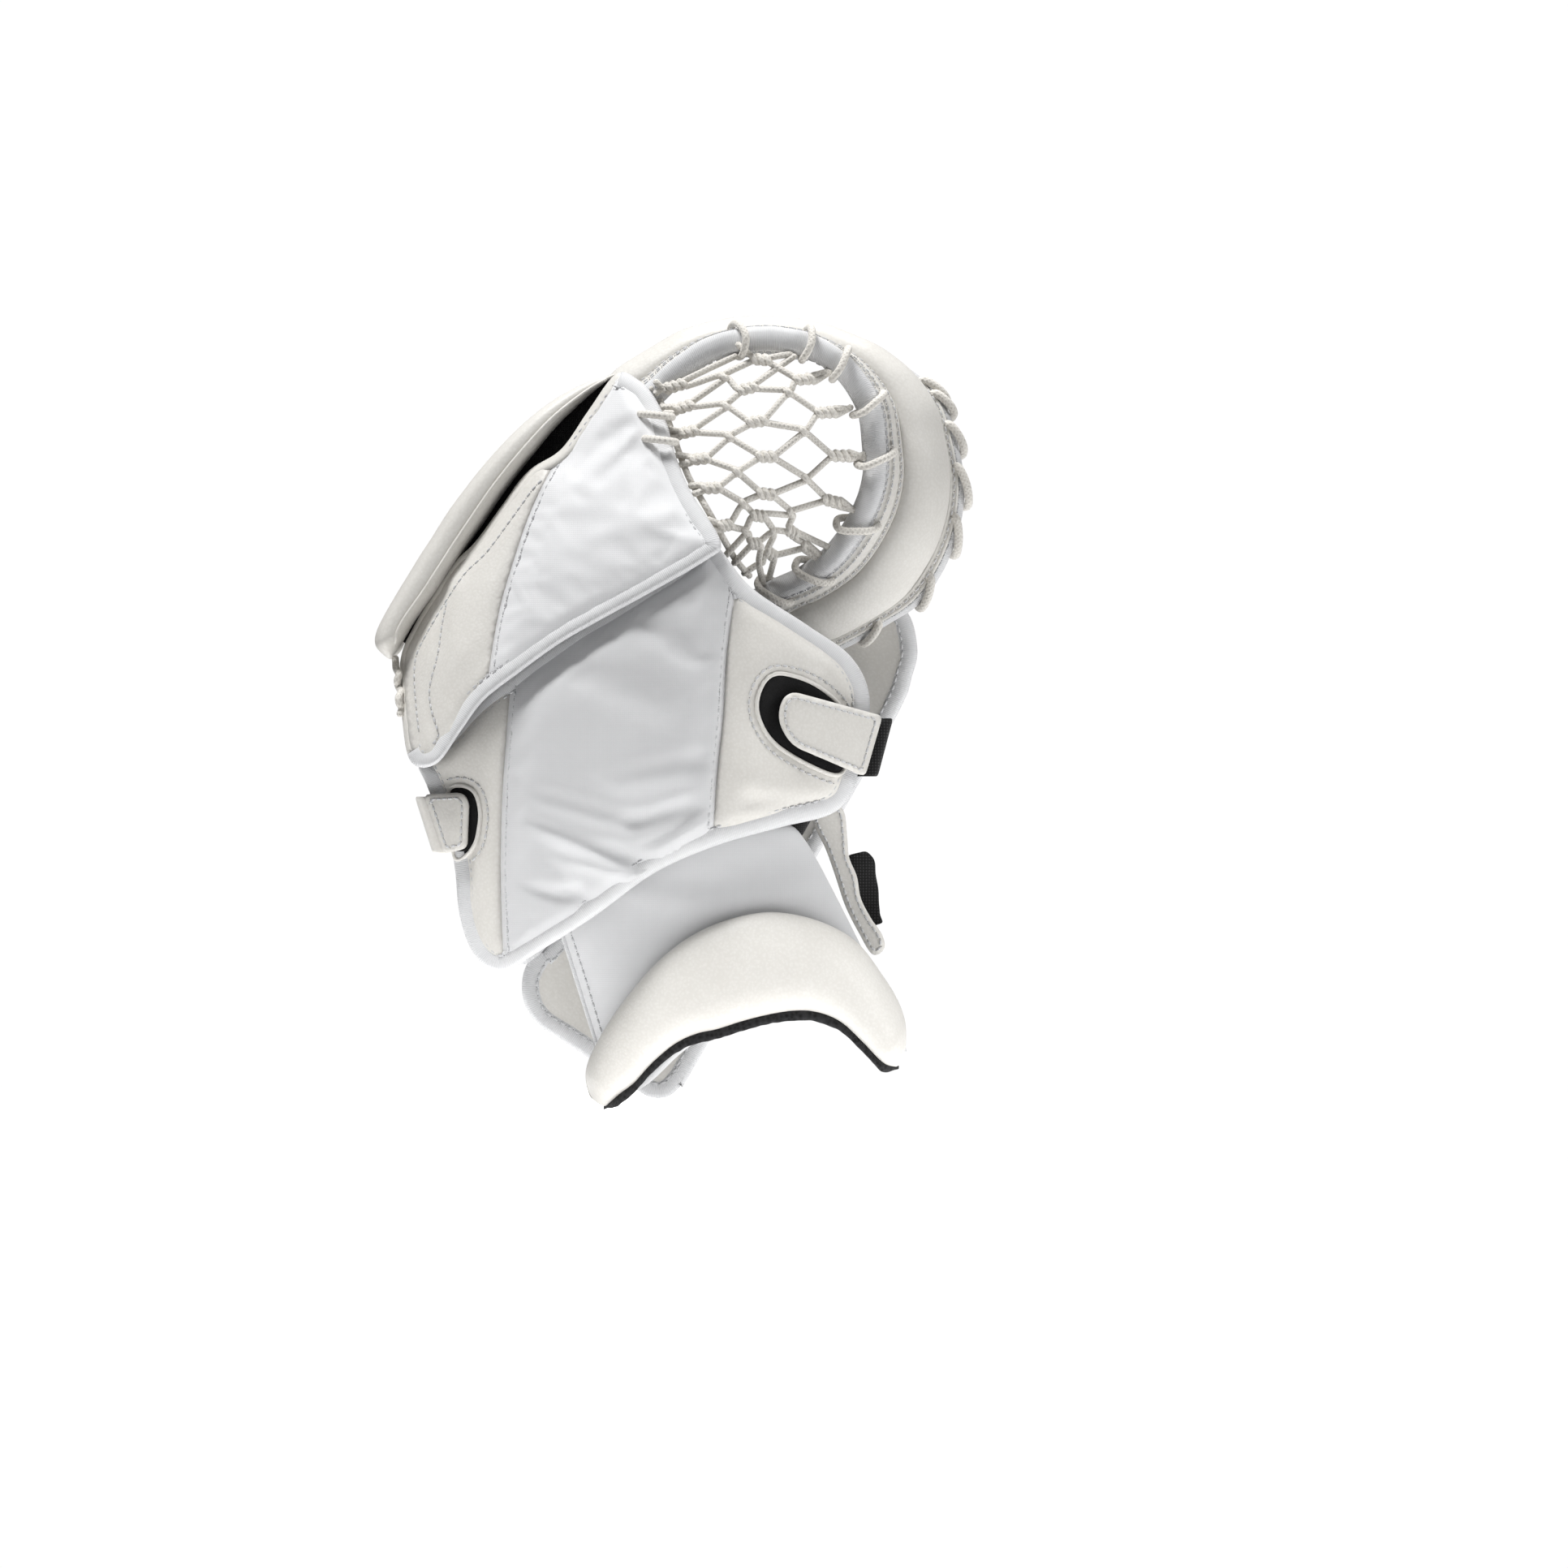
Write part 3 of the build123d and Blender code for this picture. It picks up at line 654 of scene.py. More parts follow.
def black_cloth(name, tone, pitch, rough=0.8, kind="weave"):
    """Black webbing, knit or pile, by its pattern."""
    f = Finish(name, (tone, tone, tone * 1.06), rough, **surface(0.2, 0.04, 0.5))
    if kind == "pile":
        pattern = f.noise(1500, 4, 0.7)
    elif kind == "knit":
        pattern = f.cells(1000 / pitch, "F1")
    else:
        pattern = f.math("MULTIPLY", f.wave(pitch, "X"), f.wave(pitch, "Z"))
    f.color(pattern, 0.1, 0.7, (tone * 0.45,) * 3, (tone * 1.8, tone * 1.8, tone * 1.9))
    f.rough(f.noise(200, 2), rough - 0.1, rough + 0.05)
    f.bump(pattern, 0.4, 0.8)
    return f.mat


def plain(name, tone, rough, grain=400):
    """Thread, foam and board: one tone with a fine tooth."""
    dark = tuple(c * 0.86 for c in tone)
    f = Finish(name, tone, rough, **{"Specular IOR Level": 0.3})
    f.color(f.noise(grain, 3), 0.3, 0.7, dark, tone)
    f.bump(f.noise(grain * 3, 2), 0.12, 0.5)
    return f.mat


LEATHER = leather("white_leather", (0.80, 0.785, 0.75), (0.75, 0.733, 0.697))
PALM_LEATHER = leather("palm_leather", (0.77, 0.74, 0.685), (0.70, 0.665, 0.61), 0.55)
NYLON = woven("white_nylon", (0.70, 0.703, 0.712), (0.65, 0.653, 0.662))
# A lighter copy of white_nylon for the finger pad: the same cloth, painted lighter as painted light on the
# pad's upturned face, with white_nylon as its shaded tone.
NYLON_PAINTED_LIT = woven("white_nylon_painted_lit", (0.80, 0.803, 0.812), (0.765, 0.768, 0.778))
TAPE = ribbed("edge_tape", (0.745, 0.748, 0.757), (0.69, 0.693, 0.703))
LACE = braid("braided_lace", (0.79, 0.765, 0.715), (0.69, 0.66, 0.61))
# The thread is white; its grey is painted shade, as on the shaded dashes of the stitching.
THREAD_WITH_PAINTED_SHADE = plain("sewing_thread_painted_shade", (0.64, 0.645, 0.655), 0.55, 1500)
# Dark grey for the needle holes: painted shade in the holes.
NEEDLE_HOLE_PAINTED_SHADE = plain("needle_hole_painted_shade", (0.34, 0.34, 0.35), 0.9, 900)
BLACK_WEB = black_cloth("black_webbing", 0.018, 1.5)
BLACK_FABRIC = black_cloth("black_gusset", 0.010, 1.0)
BLACK_MESH = black_cloth("black_mesh", 0.014, 2.2, kind="knit")
BLACK_PILE = black_cloth("black_loop_pile", 0.008, 1.0, 0.95, "pile")
FOAM = plain("closed_cell_foam", (0.35, 0.36, 0.38), 0.85, 700)
BOARD = plain("sheet_core", (0.82, 0.82, 0.80), 0.5, 300)


# ==== shared outlines and surfaces ================================================================
def anticlockwise(loop):
    """A closed loop, turned round if it runs clockwise as the back of the hand is seen."""
    x, z = loop.T
    area = (x * np.roll(z, -1) - np.roll(x, -1) * z).sum()
    return loop if area > 0 else loop[::-1]


def loop_of(points, step=3.0):
    """A smooth closed outline that runs anticlockwise."""
    return anticlockwise(curve(points, step, closed=True))


def split(loop, line):
    """Cuts a closed loop along a line that crosses it twice; gives the left part and the right part."""
    hits = []
    for i in range(len(line) - 1):
        a, b = line[i], line[i + 1]
        for j in range(len(loop)):
            c, d = loop[j], loop[(j + 1) % len(loop)]
            r, s = b - a, d - c
            det = r[0] * s[1] - r[1] * s[0]
            if abs(det) < 1e-9:
                continue
            t = ((c - a)[0] * s[1] - (c - a)[1] * s[0]) / det
            u = ((c - a)[0] * r[1] - (c - a)[1] * r[0]) / det
            if 0 <= t < 1 and 0 <= u < 1:
                hits.append((i + t, j, a + t * r))
    first, last = hits[0], hits[-1]
    middle = [line[k] for k in range(int(first[0]) + 1, int(last[0]) + 1)]
    cut = np.array([first[2]] + middle + [last[2]])

    def between(j0, j1):
        count = (j1 - j0) % len(loop)
        return np.array([loop[(j0 + 1 + k) % len(loop)] for k in range(count)])

    parts = []
    for piece, seam in ((between(first[1], last[1]), cut[::-1]), (between(last[1], first[1]), cut)):
        ends = np.array([seam[0], seam[-1]])
        far = [p for p in piece if np.linalg.norm(ends - p, axis=1).min() > 0.8]
        parts.append(anticlockwise(np.vstack([far, seam])))
    return sorted(parts, key=lambda r: r[:, 0].mean())


HAND_EDGE = loop_of([
    (-23, 262), (-2, 238), (28, 218), (50, 202), (59, 180), (53, 144), (42, 125), (14, 117), (-18, 108),
    (-50, 94), (-82, 71), (-112, 52), (-128, 43), (-141, 51), (-149, 71), (-153, 103), (-166, 137),
    (-171, 151), (-155, 166), (-137, 184), (-95, 214), (-40, 248)])
HAND_LEFT = curve([(-122, 215), (-123, 192), (-125, 166), (-127, 138), (-128, 111), (-128, 84), (-126, 30)])
HAND_RIGHT = curve([(-6, 258), (-9, 236), (-13, 206), (-15, 173), (-18, 144), (-21, 100)])
FINGER_EDGE = loop_of([
    (-70, 348), (-84, 329), (-98, 309), (-115, 298), (-128, 281), (-142, 262), (-155, 249), (-174, 219),
    (-181, 200), (-179, 171), (-174, 150), (-161, 149), (-149, 165), (-137, 181), (-119, 195), (-98, 210),
    (-77, 222), (-55, 234), (-24, 252), (-17, 261), (-32, 286), (-40, 305), (-45, 323), (-52, 337),
    (-60, 345)], 2.5)
FINGER_SEAM = curve([(-72, 352), (-78, 337), (-96, 312), (-112, 281), (-122, 252), (-130, 222), (-136, 180)])
FINGER_RAISED = curve([(-158, 236), (-161, 221), (-163, 205), (-167, 188), (-166, 176), (-160, 158)])
PALM_EDGE = loop_of([
    (-176, 196), (-164, 226), (-143, 260), (-120, 294), (-97, 321), (-72, 338), (-57, 328), (-45, 300),
    (-30, 262), (-16, 232), (-22, 204), (-105, 58), (-131, 56), (-142, 88), (-150, 124), (-162, 158)])
BOARD_EDGE = loop_of([
    (-44, -23.5), (-36, -15), (-29, -4), (66, 160), (82, 196), (84, 212), (78, 229), (58, 243), (18, 232),
    (0, 204), (-98, 66), (-112, 52), (-119, 40), (-119, 26), (-112, 14), (-97, 4), (-64, -18), (-54, -24)])

# Creases: start, end, width and depth.
HAND_CREASES = [
    ((-112, 118), (-58, 98), 6, 2.4), ((-104, 104), (-44, 88), 5, -2.0), ((-110, 132), (-60, 118), 7, 2.0),
    ((-30, 128), (-64, 118), 5, 1.7), ((-26, 150), (-74, 138), 8, 1.5), ((-116, 84), (-84, 82), 5, 1.6),
    ((-22, 122), (-50, 102), 4, -1.5), ((-90, 196), (-40, 176), 9, 1.2), ((-60, 222), (-24, 200), 7, 1.1),
    ((34, 196), (50, 172), 5, 1.0), ((-6, 130), (36, 128), 5, 1.0)]
FINGER_CREASES = [
    ((-62, 324), (-92, 296), 4, 2.0), ((-57, 314), (-80, 290), 4, 1.8), ((-66, 318), (-104, 300), 5, 1.4),
    ((-58, 309), (-66, 278), 4, 1.4), ((-30, 268), (-70, 256), 6, 1.5), ((-40, 276), (-84, 262), 5, -1.2),
    ((-112, 232), (-80, 250), 8, 1.0), ((-48, 250), (-40, 262), 3, 1.2)]
TAB_WINDOWS = np.array([(27.0, 168.0), (44.0, 162.0), (-150.0, 118.0)])


def flex(p):
    """How far a flat point lies beyond the knuckle line, towards the fingertips."""
    return (np.asarray(p) - KNUCKLE) @ ACROSS


def hand_base(p):
    """The hand pad's round back, which steps down under the finger pad."""
    return -75 + arc(np.asarray(p, float)[:, 0], -50, 190) + 6.5 * ease((flex(p) + 14) / 16)


def finger_base(p):
    """The finger pad's round back, which rises towards the knuckles."""
    x, z = np.asarray(p, float).T
    return -93 + arc(x, 12, 250) + 0.47 * (z - 231)


def board_base(p):
    """The inner face of the cuff board, bowed so that its middle stands away from the hand."""
    return 46.5 - 7.0 * np.clip(np.abs(np.asarray(p, float)[:, 0] + 17) / 105, 0, 1) ** 2


def board_middle(p):
    return board_base(p) + 7.2


def palm_base(p):
    """The inner face of the palm: one slope under the hand, another under the fingers."""
    x, z = np.asarray(p, float).T
    hand = 30 - 0.02 * (x + 100) - 0.13 * (z - 100)
    fingers = 20 - 0.138 * (x + 100) + 0.196 * (z - 204)
    w = ease((flex(p) + 14) / 30)
    return hand * (1 - w) + fingers * w


def palm_middle(p):
    return palm_base(p) + 4.5


def wrinkles(p, creases):
    """How deep the creases are at flat points."""
    return sum(depth * ridge(p, a, b, width) for a, b, width, depth in creases)


def hand_face(p):
    """The hand pad's surface: crowned, drawn in at its edge and seams, flat under the tabs."""
    edge = distance(p, HAND_EDGE, True)
    seam = np.minimum(distance(p, HAND_LEFT), distance(p, HAND_RIGHT))
    tabs = np.linalg.norm(np.asarray(p)[:, None] - TAB_WINDOWS, axis=2).min(1)
    crown = 6.5 * ease(edge / 34) * ease((tabs - 14) / 30) * ease(seam / 26 + 0.25)
    pinch = 3.0 * (1 - ease((edge - 3) / 9)) + 1.6 * np.exp(-(seam / 2.2) ** 2)
    return hand_base(p) - crown + pinch + 1.5 * wrinkles(p, HAND_CREASES) + 0.4 * ripple(p, 34)


def finger_face(p):
    """The finger pad's surface, with a raised line along its outer side."""
    edge = distance(p, FINGER_EDGE, True)
    seam = distance(p, FINGER_SEAM)
    raised = distance(p, FINGER_RAISED)
    side = ease((np.asarray(p)[:, 0] + 160) / 8)
    crown = 7.0 * ease(edge / 28) * ease(seam / 20 + 0.2)
    pinch = 2.6 * (1 - ease((edge - 3) / 8)) + 1.5 * np.exp(-(seam / 2.2) ** 2)
    pinch += 1.3 * np.exp(-(raised / 1.8) ** 2) - 1.8 * side * np.exp(-((raised - 7) / 6) ** 2)
    return finger_base(p) - crown + pinch + 0.9 * wrinkles(p, FINGER_CREASES) + 0.35 * ripple(p, 28, 3.0)


def board_face(p):
    edge = distance(p, BOARD_EDGE, True)
    return board_base(p) + 15 - 2.2 * (1 - ease(edge / 12)) + 0.4 * ripple(p, 40, 5.0)


def palm_face(p):
    edge = distance(p, PALM_EDGE, True)
    return palm_base(p) + 11.0 - 4.0 * (1 - ease(edge / 14)) + 0.5 * ripple(p, 30, 8.0)


def palm_side(obj):
    """Turns a panel over, so that it faces the palm side."""
    obj.data.flip_normals()
    return obj


def edge_tape(name, loop, middle, half, width=10.5, finish=TAPE, closed=True):
    """The folded tape round a pad whose edge lies at depth middle(points)."""
    inner = shift(loop, 6.0, closed, 4)
    edge = join(loop, middle(loop))
    inward = join(inner, middle(inner)) - edge
    inward /= np.linalg.norm(inward, axis=1, keepdims=True)
    return tape(name, edge, inward, np.tile(-BACK, (len(loop), 1)), finish, width, half, closed)


def tape_stitches(name, loop, middle, half, inset, front=True, closed=True):
    """The stitch line that holds a tape, on its front flap or on its palm-side flap."""
    path = shift(loop, inset, closed, 5)
    sign = -1 if front else 1
    spots = join(path, middle(path) + sign * (half + 1.75))
    return stitches(name, spots, np.tile([0.0, float(sign), 0.0], (len(path), 1)), closed=closed)


def surface_stitches(name, path, face, lift=0.25, pitch=STITCH):
    """A stitch line along a flat path, on the face of a panel."""
    line = even(path, 1.5)
    return stitches(name, join(line, face(line) - lift), np.tile(BACK, (len(line), 1)), pitch)


def trim(path, low, high):
    """The part of a path between two fractions of its length."""
    run = lengths(path)
    keep = (run >= low * run[-1]) & (run <= high * run[-1])
    return path[keep]


# ==== back-of-hand pad ============================================================================
def pad_skins(body, edge, face, step, panels):
    """The panels of a pad's face. Nylon fills out as cloth."""
    for name, loop, finish, slot, node in panels:
        skin = patch(name, loop, face, finish, step, edge=edge if slot == "nylon_white" else None)
        ride(skin, body, slot, node)


def hand_pad():
    inner = shift(HAND_EDGE, 2.5, True)
    left, rest = split(inner, HAND_LEFT)
    middle, right = split(rest, HAND_RIGHT)
    pad_skins("root", HAND_EDGE, hand_face, 2.6, (
        ("hand_side_leather_skin", left, LEATHER, "leather_white", "hand_side_leather"),
        ("hand_nylon_skin", middle, NYLON, "nylon_white", "hand_nylon"),
        ("hand_thumb_leather_skin", right, LEATHER, "leather_white", "hand_thumb_leather")))
    core = patch("hand_pad_filling", shift(HAND_EDGE, 6, True), lambda p: hand_face(p) + 2.4, FOAM, 6.0, 7.6)
    ride(core, "root", "foam_grey", "hand_foam")

    def lining_depth(p):
        return hand_base(p) + 13.4 - 2.0 * (1 - ease(distance(p, HAND_EDGE, True) / 12))

    def middle_depth(p):
        return hand_base(p) + 7.6

    back = palm_side(patch("hand_pad_lining", inner, lining_depth, BLACK_FABRIC, 5.0, 1.4))
    ride(back, "root", "fabric_black", "hand_lining")
    half = 4.6
    ride(edge_tape("hand_edge_tape", HAND_EDGE, middle_depth, half), "root", "binding_white", "hand_binding")
    rows = [tape_stitches("hand_tape_stitching", HAND_EDGE, middle_depth, half, 8.2),
            surface_stitches("a", shift(trim(HAND_LEFT, 0.13, 0.9), 2.6), hand_face),
            surface_stitches("b", shift(trim(HAND_RIGHT, 0.1, 0.9), -2.6), hand_face)]
    ride(merge("hand_pad_stitching", rows), "root", "binding_white")


# ==== finger pad ==================================================================================
def finger_pad():
    inner = shift(FINGER_EDGE, 2.2, True)
    left, right = split(inner, FINGER_SEAM)
    # The finger pad's nylon is the painted-lit copy of the hand pad's nylon.
    pad_skins("fingers", FINGER_EDGE, finger_face, 2.4, (
        ("finger_leather_skin", left, LEATHER, "leather_white", "finger_leather"),
        ("finger_nylon_skin", right, NYLON_PAINTED_LIT, "nylon_white", "finger_nylon")))
    core = patch("finger_pad_filling", shift(FINGER_EDGE, 6, True), lambda p: finger_face(p) + 2.4, FOAM, 6.0,
                 5.0)
    ride(core, "fingers", "foam_grey", "finger_foam")
    back = palm_side(patch("finger_pad_lining", inner, lambda p: finger_base(p) + 10.8, BLACK_FABRIC, 5.0,
                           1.4))
    ride(back, "fingers", "fabric_black", "finger_lining")

    def middle_depth(p):
        return finger_base(p) + 6.0

    # The tape ends where the pad's edge is turned leather, from its tip to its lower end.
    half = 3.9
    tip = int(np.argmax(FINGER_EDGE[:, 1]))
    heel = int(np.argmin(((FINGER_EDGE - (-176, 153)) ** 2).sum(1)))
    count = (heel - tip) % len(FINGER_EDGE)
    ring = np.roll(FINGER_EDGE, -tip, axis=0)
    folded, taped = ring[:count + 1], np.vstack([ring[count:], ring[:1]])
    ride(edge_tape("finger_turned_edge", folded, middle_depth, 1.9, 6.0, LEATHER, False), "fingers",
         "leather_white")
    ride(edge_tape("finger_edge_tape", taped, middle_depth, half, 10.0, closed=False), "fingers",
         "binding_white", "finger_binding")
    rows = [tape_stitches("a", taped, middle_depth, half, 7.8, closed=False),
            surface_stitches("e", trim(shift(folded, 8.0), 0.3, 0.95), finger_face),
            surface_stitches("b", shift(trim(FINGER_SEAM, 0.08, 0.9), 2.4), finger_face),
            surface_stitches("c", shift(trim(FINGER_RAISED, 0.05, 0.9), 2.4), finger_face)]
    ride(merge("finger_pad_stitching", rows), "fingers", "binding_white")


# ==== padded fingertip edge =======================================================================
def fingertip_roll():
    count, low, high = 60, -26.0, 38.0
    outer = spread(curve([
        (-188, 201), (-195, 213), (-181, 240), (-150, 288), (-118, 325), (-92, 344), (-72, 351)], 4), count)
    inner = spread(curve([
        (-181, 208), (-174, 221), (-161, 238), (-145, 262), (-123, 294), (-100, 321), (-82, 337),
        (-69, 347)], 4), count)
    angle = np.arange(28) * 2 * math.pi / 28
    c, s = np.cos(angle), np.sin(angle)
    rings = []
    for i in range(count):
        t = i / (count - 1)
        end = min(1.0, 0.55 + 9 * t) ** 0.5 if t < 0.5 else math.sin(math.pi * min(t, 0.985)) ** 0.35
        swell = 1.0 + 0.04 * wobble(i * 0.21, 3.0, 1.0)
        across = 0.5 + 0.5 * np.sign(c) * np.abs(c) ** 0.72 * swell
        depth = (low + high) / 2 + (high - low) / 2 * np.sign(s) * np.abs(s) ** 0.55 * end
        mid = (outer[i] + inner[i]) / 2
        o, n = mid + (outer[i] - mid) * end, mid + (inner[i] - mid) * end
        flat = n + across[:, None] * (o - n)
        rings.append(np.stack([flat[:, 0], depth, flat[:, 1]], axis=1))
    roll = subdivide(grid("fingertip_edge_roll", rings, LEATHER))
    ride(roll, "fingers", "leather_white", "edge_cover", "edge_foam")
    seam = [ring[20] + 0.4 * BACK for ring in rings[2:-2]]
    ride(tube("fingertip_edge_piping", seam, 0.9, LEATHER, 8), "fingers", "leather_white")
    # Black cloth between the roll and the finger pad, reaching round to the pad's palm side.
    rings = []
    for i, (p, q) in enumerate(list(zip(shift(inner, 4.0), shift(inner, -13.0)))[1:-1], 1):
        mid = finger_base(np.array([q]))[0] + 12
        sag = 1.2 * wobble(i * 0.4, 7.0, 2.0)
        rings.append([(p[0], -4, p[1]),
                      (p[0] * 0.5 + q[0] * 0.5, (mid - 4) / 2 + 3 + sag, p[1] * 0.5 + q[1] * 0.5),
                      (q[0], mid, q[1])])
    gusset = thicken(grid("fingertip_gusset_cloth", rings, BLACK_FABRIC, wrap=False), 1.2)
    ride(gusset, "fingers", "fabric_black", "finger_gusset")


# ==== pocket rim ==================================================================================
# The rim by stations from the fingertips round to the heel: its net edge and its outer edge.
RIM = [
    ((-62, -16, 322), (-80, 26, 338)), ((-55, -20, 332), (-71, 32, 347)), ((-47, -24, 340), (-60, 36, 352)),
    ((-37, -27, 350), (-46, 39, 358)), ((-22, -29, 360), (-28, 42, 364)), ((-6, -30, 365), (-8, 44, 366)),
    ((10, -30, 366), (12, 45, 366)), ((26, -30, 363), (36, 45, 363)), ((40, -29, 355), (60, 41, 356)),
    ((50, -28, 344), (77, 37, 350)), ((57, -26, 330), (94, 33, 335)), ((59, -25, 314), (101, 30, 318)),
    ((59, -24, 296), (106, 27, 290)), ((53, -21, 278), (101, 29, 262)), ((40, -16, 259), (87, 32, 237)),
    ((25, -11, 247), (67, 33, 223)), ((9, -7, 240), (46, 33, 211)), ((-4, -4, 233), (28, 31, 203))]


def rim_frames():
    """Along the rim: its net edge, its outer edge, the way across, the way out and the width."""
    inner, outer = (smooth(line) for line in zip(*RIM))
    across = outer - inner
    width = np.linalg.norm(across, axis=1)
    across /= width[:, None]
    along = tangents((inner + outer) / 2)
    along -= across * (along * across).sum(1)[:, None]
    out = np.cross(along, across)
    out /= np.linalg.norm(out, axis=1, keepdims=True)
    return inner, outer, across, soften(out, 6), width


def rim_point(i, u, v, frames):
    """A point of the rim: u is a fraction of its width from the net edge, v stands off its middle."""
    inner, _, across, out, width = frames
    return inner[i] + across[i] * u * width[i] + out[i] * v


def rim_line(u, v, frames, short=0):
    """A line along the rim, which stops a few points short of both ends."""
    return np.array([rim_point(i, u, v, frames) for i in range(short, len(frames[0]) - short)])


def rim_skin(name, profile, frames):
    """A rounded leather skin along the whole rim."""
    rings = [[rim_point(i, u, v, frames) for u, v in profile] for i in range(len(frames[0]))]
    return subdivide(grid(name, rings, LEATHER))


def pocket_rim():
    frames = rim_frames()
    inner, outer, across, out, _ = frames
    count = len(inner)
    wall = [(0.03, 3.6), (0.16, 4.6), (0.27, 4.6), (0.5, 4.6), (0.8, 4.4), (0.97, 3.4), (0.985, 0),
            (0.97, -3.4), (0.8, -4.6), (0.5, -5.0), (0.2, -4.6), (0.03, -3.6), (0.015, 0)]
    fold(rim_skin("pocket_rim_wall", wall, frames), "leather_white",
         "finger_rim_cover", "thumb_rim_cover", "finger_rim_core", "thumb_rim_core")
    rings = []
    for i in range(2, count - 3):
        ends = min(1.0, min(i - 1.5, count - 3.5 - i) / 7) ** 0.6
        puff = 9.5 * ends * (1 + 0.08 * wobble(i * 0.16, 1.0, 4.0))
        ring = []
        for k in range(18):
            a = k * math.pi / 17
            ring.append(rim_point(i, 0.54 - 0.25 * math.cos(a), 4.0 + puff * math.sin(a) ** 0.8, frames))
        for k in range(1, 6):
            ring.append(rim_point(i, 0.79 - 0.51 * k / 6, 3.4, frames))
        rings.append(ring)
    roll = subdivide(grid("pocket_rim_roll", rings, LEATHER))
    fold(roll, "leather_white")
    for name, band in (
            ("pocket_rim_flat_band", [(0.11, 3.8), (0.125, 5.5), (0.2, 6.4), (0.28, 5.9), (0.295, 4.4),
                                      (0.29, 3.6)]),
            ("pocket_rim_outer_band", [(0.805, 3.4), (0.81, 5.6), (0.84, 6.3), (0.875, 5.9), (0.885, 3.4)])):
        fold(rim_skin(name, band, frames), "leather_white")
    fold(tube("pocket_rim_black_seam", rim_line(0.797, 4.7, frames, 3), 1.0, BLACK_FABRIC, 8), "fabric_black")
    piping = [tube("piping", rim_line(u, v, frames), radius, LEATHER, 8)
              for u, v, radius in ((0.885, 5.6, 1.25), (0.283, 5.2, 0.9))]
    fold(merge("pocket_rim_piping", piping), "leather_white")
    fold(tape("pocket_rim_net_edge_tape", inner, across, -out, TAPE, 9.0, 4.6, False), "binding_white",
         "finger_rim_net_tape", "thumb_rim_net_tape")
    fold(tape("pocket_rim_outer_edge_tape", outer, -across, -out, TAPE, 9.5, 4.4, False), "binding_white",
         "finger_rim_outer_tape", "thumb_rim_outer_tape")
    rows = [stitches("row", rim_line(u, v, frames), out if v > 0 else -out)
            for u, v in ((0.105, 6.7), (0.165, 6.65), (0.25, 6.65), (0.845, 6.75), (0.91, 6.2), (0.12, -6.5),
                         (0.9, -6.2))]
    fold(merge("pocket_rim_stitching", rows), "binding_white")
    return frames


# ==== net and laces ===============================================================================
def net_ring(frames):
    """The closed line that the net hangs in: the rim's net edge, then the pads' edges."""
    inner = frames[0]
    left = smooth([(-6, -8, 234), (-15, -26, 247), (-20, -46, 262), (-31, -50, 280), (-39, -42, 298),
                   (-45, -32, 316), (-51, -24, 330)], per=10)
    start = int(np.argmin(np.linalg.norm(inner - (-47, -24, 340), axis=1)))
    return even(np.vstack([inner[start:], left]), 3.0, True)


# The net's knots, by row from the top left down; each is its strand's number and its place.
NET_ROWS = [
    ((-8, 363), [(1, 4, 355), (3, 26, 345)], (39, 349)),
    ((-50, 338), [(0, -39, 342), (1, -15, 346), (2, -3, 340), (3, 18, 338), (4, 37, 328)], (50, 331)),
    ((-46, 331), [(1, -35, 331), (2, -14, 331), (3, 2, 323), (4, 26, 318), (5, 44, 306)], (57, 307)),
    ((-43, 319), [(2, -33, 318), (3, -12, 315), (4, 7, 305), (5, 27, 294), (6, 40, 283)], (54, 278)),
    ((-39, 306), [(3, -27, 304), (4, -8, 297), (5, 7, 286), (6, 19, 277), (7, 20, 267), (8, 26, 260)],
     (34, 253)),
    ((-32, 290), [(4, -21, 289), (5, -5, 281), (6, 3, 275), (7, 10, 267), (8, 9, 256)], (8, 244)),
    ((-23, 273), [(5, -14, 270), (6, -4, 267), (7, 1, 261), (8, 3, 251)], (5, 241))]
# The crossing strands, by number: where each starts at the lower left and ends at the upper right.
NET_STRANDS = [
    ((-50, 344), (-9, 357)), ((-45, 328), (19, 358)), ((-42, 315), (21, 357)), ((-37, 301), (38, 349)),
    ((-30, 286), (49, 330)), ((-20, 268), (57, 305)), ((-14, 255), (53, 277)), ((-10, 251), (40, 259)),
    ((-5, 246), (35, 255))]
CORD = 1.7            # radius of the net's cord
LONG_TWIST = 3, 5.4   # half turns of a long knot, and its reach to each side
SHORT_TWIST = 1, 2.1


def net_routes():
    """Every cord of the net as its points and the knots it goes through, with each knot's direction."""
    knots, passing = {}, {}
    routes = []
    for r, (start, row, end) in enumerate(NET_ROWS):
        keys = [(r, number) for number, *_ in row]
        knots.update({(r, number): np.array([x, z], float) for number, x, z in row})
        routes.append((1, keys, start, end))
    for number, (start, end) in enumerate(NET_STRANDS):
        keys = sorted((key for key in knots if key[1] == number), reverse=True)
        routes.append((-1, keys, start, end))
    for _, keys, start, end in routes:
        line = [np.array(start, float), *(knots[key] for key in keys), np.array(end, float)]
        for before, key, after in zip(line, keys, line[2:]):
            passing[key] = passing.get(key, 0) + (after - before)
    return routes, knots, {key: way / np.linalg.norm(way) for key, way in passing.items()}


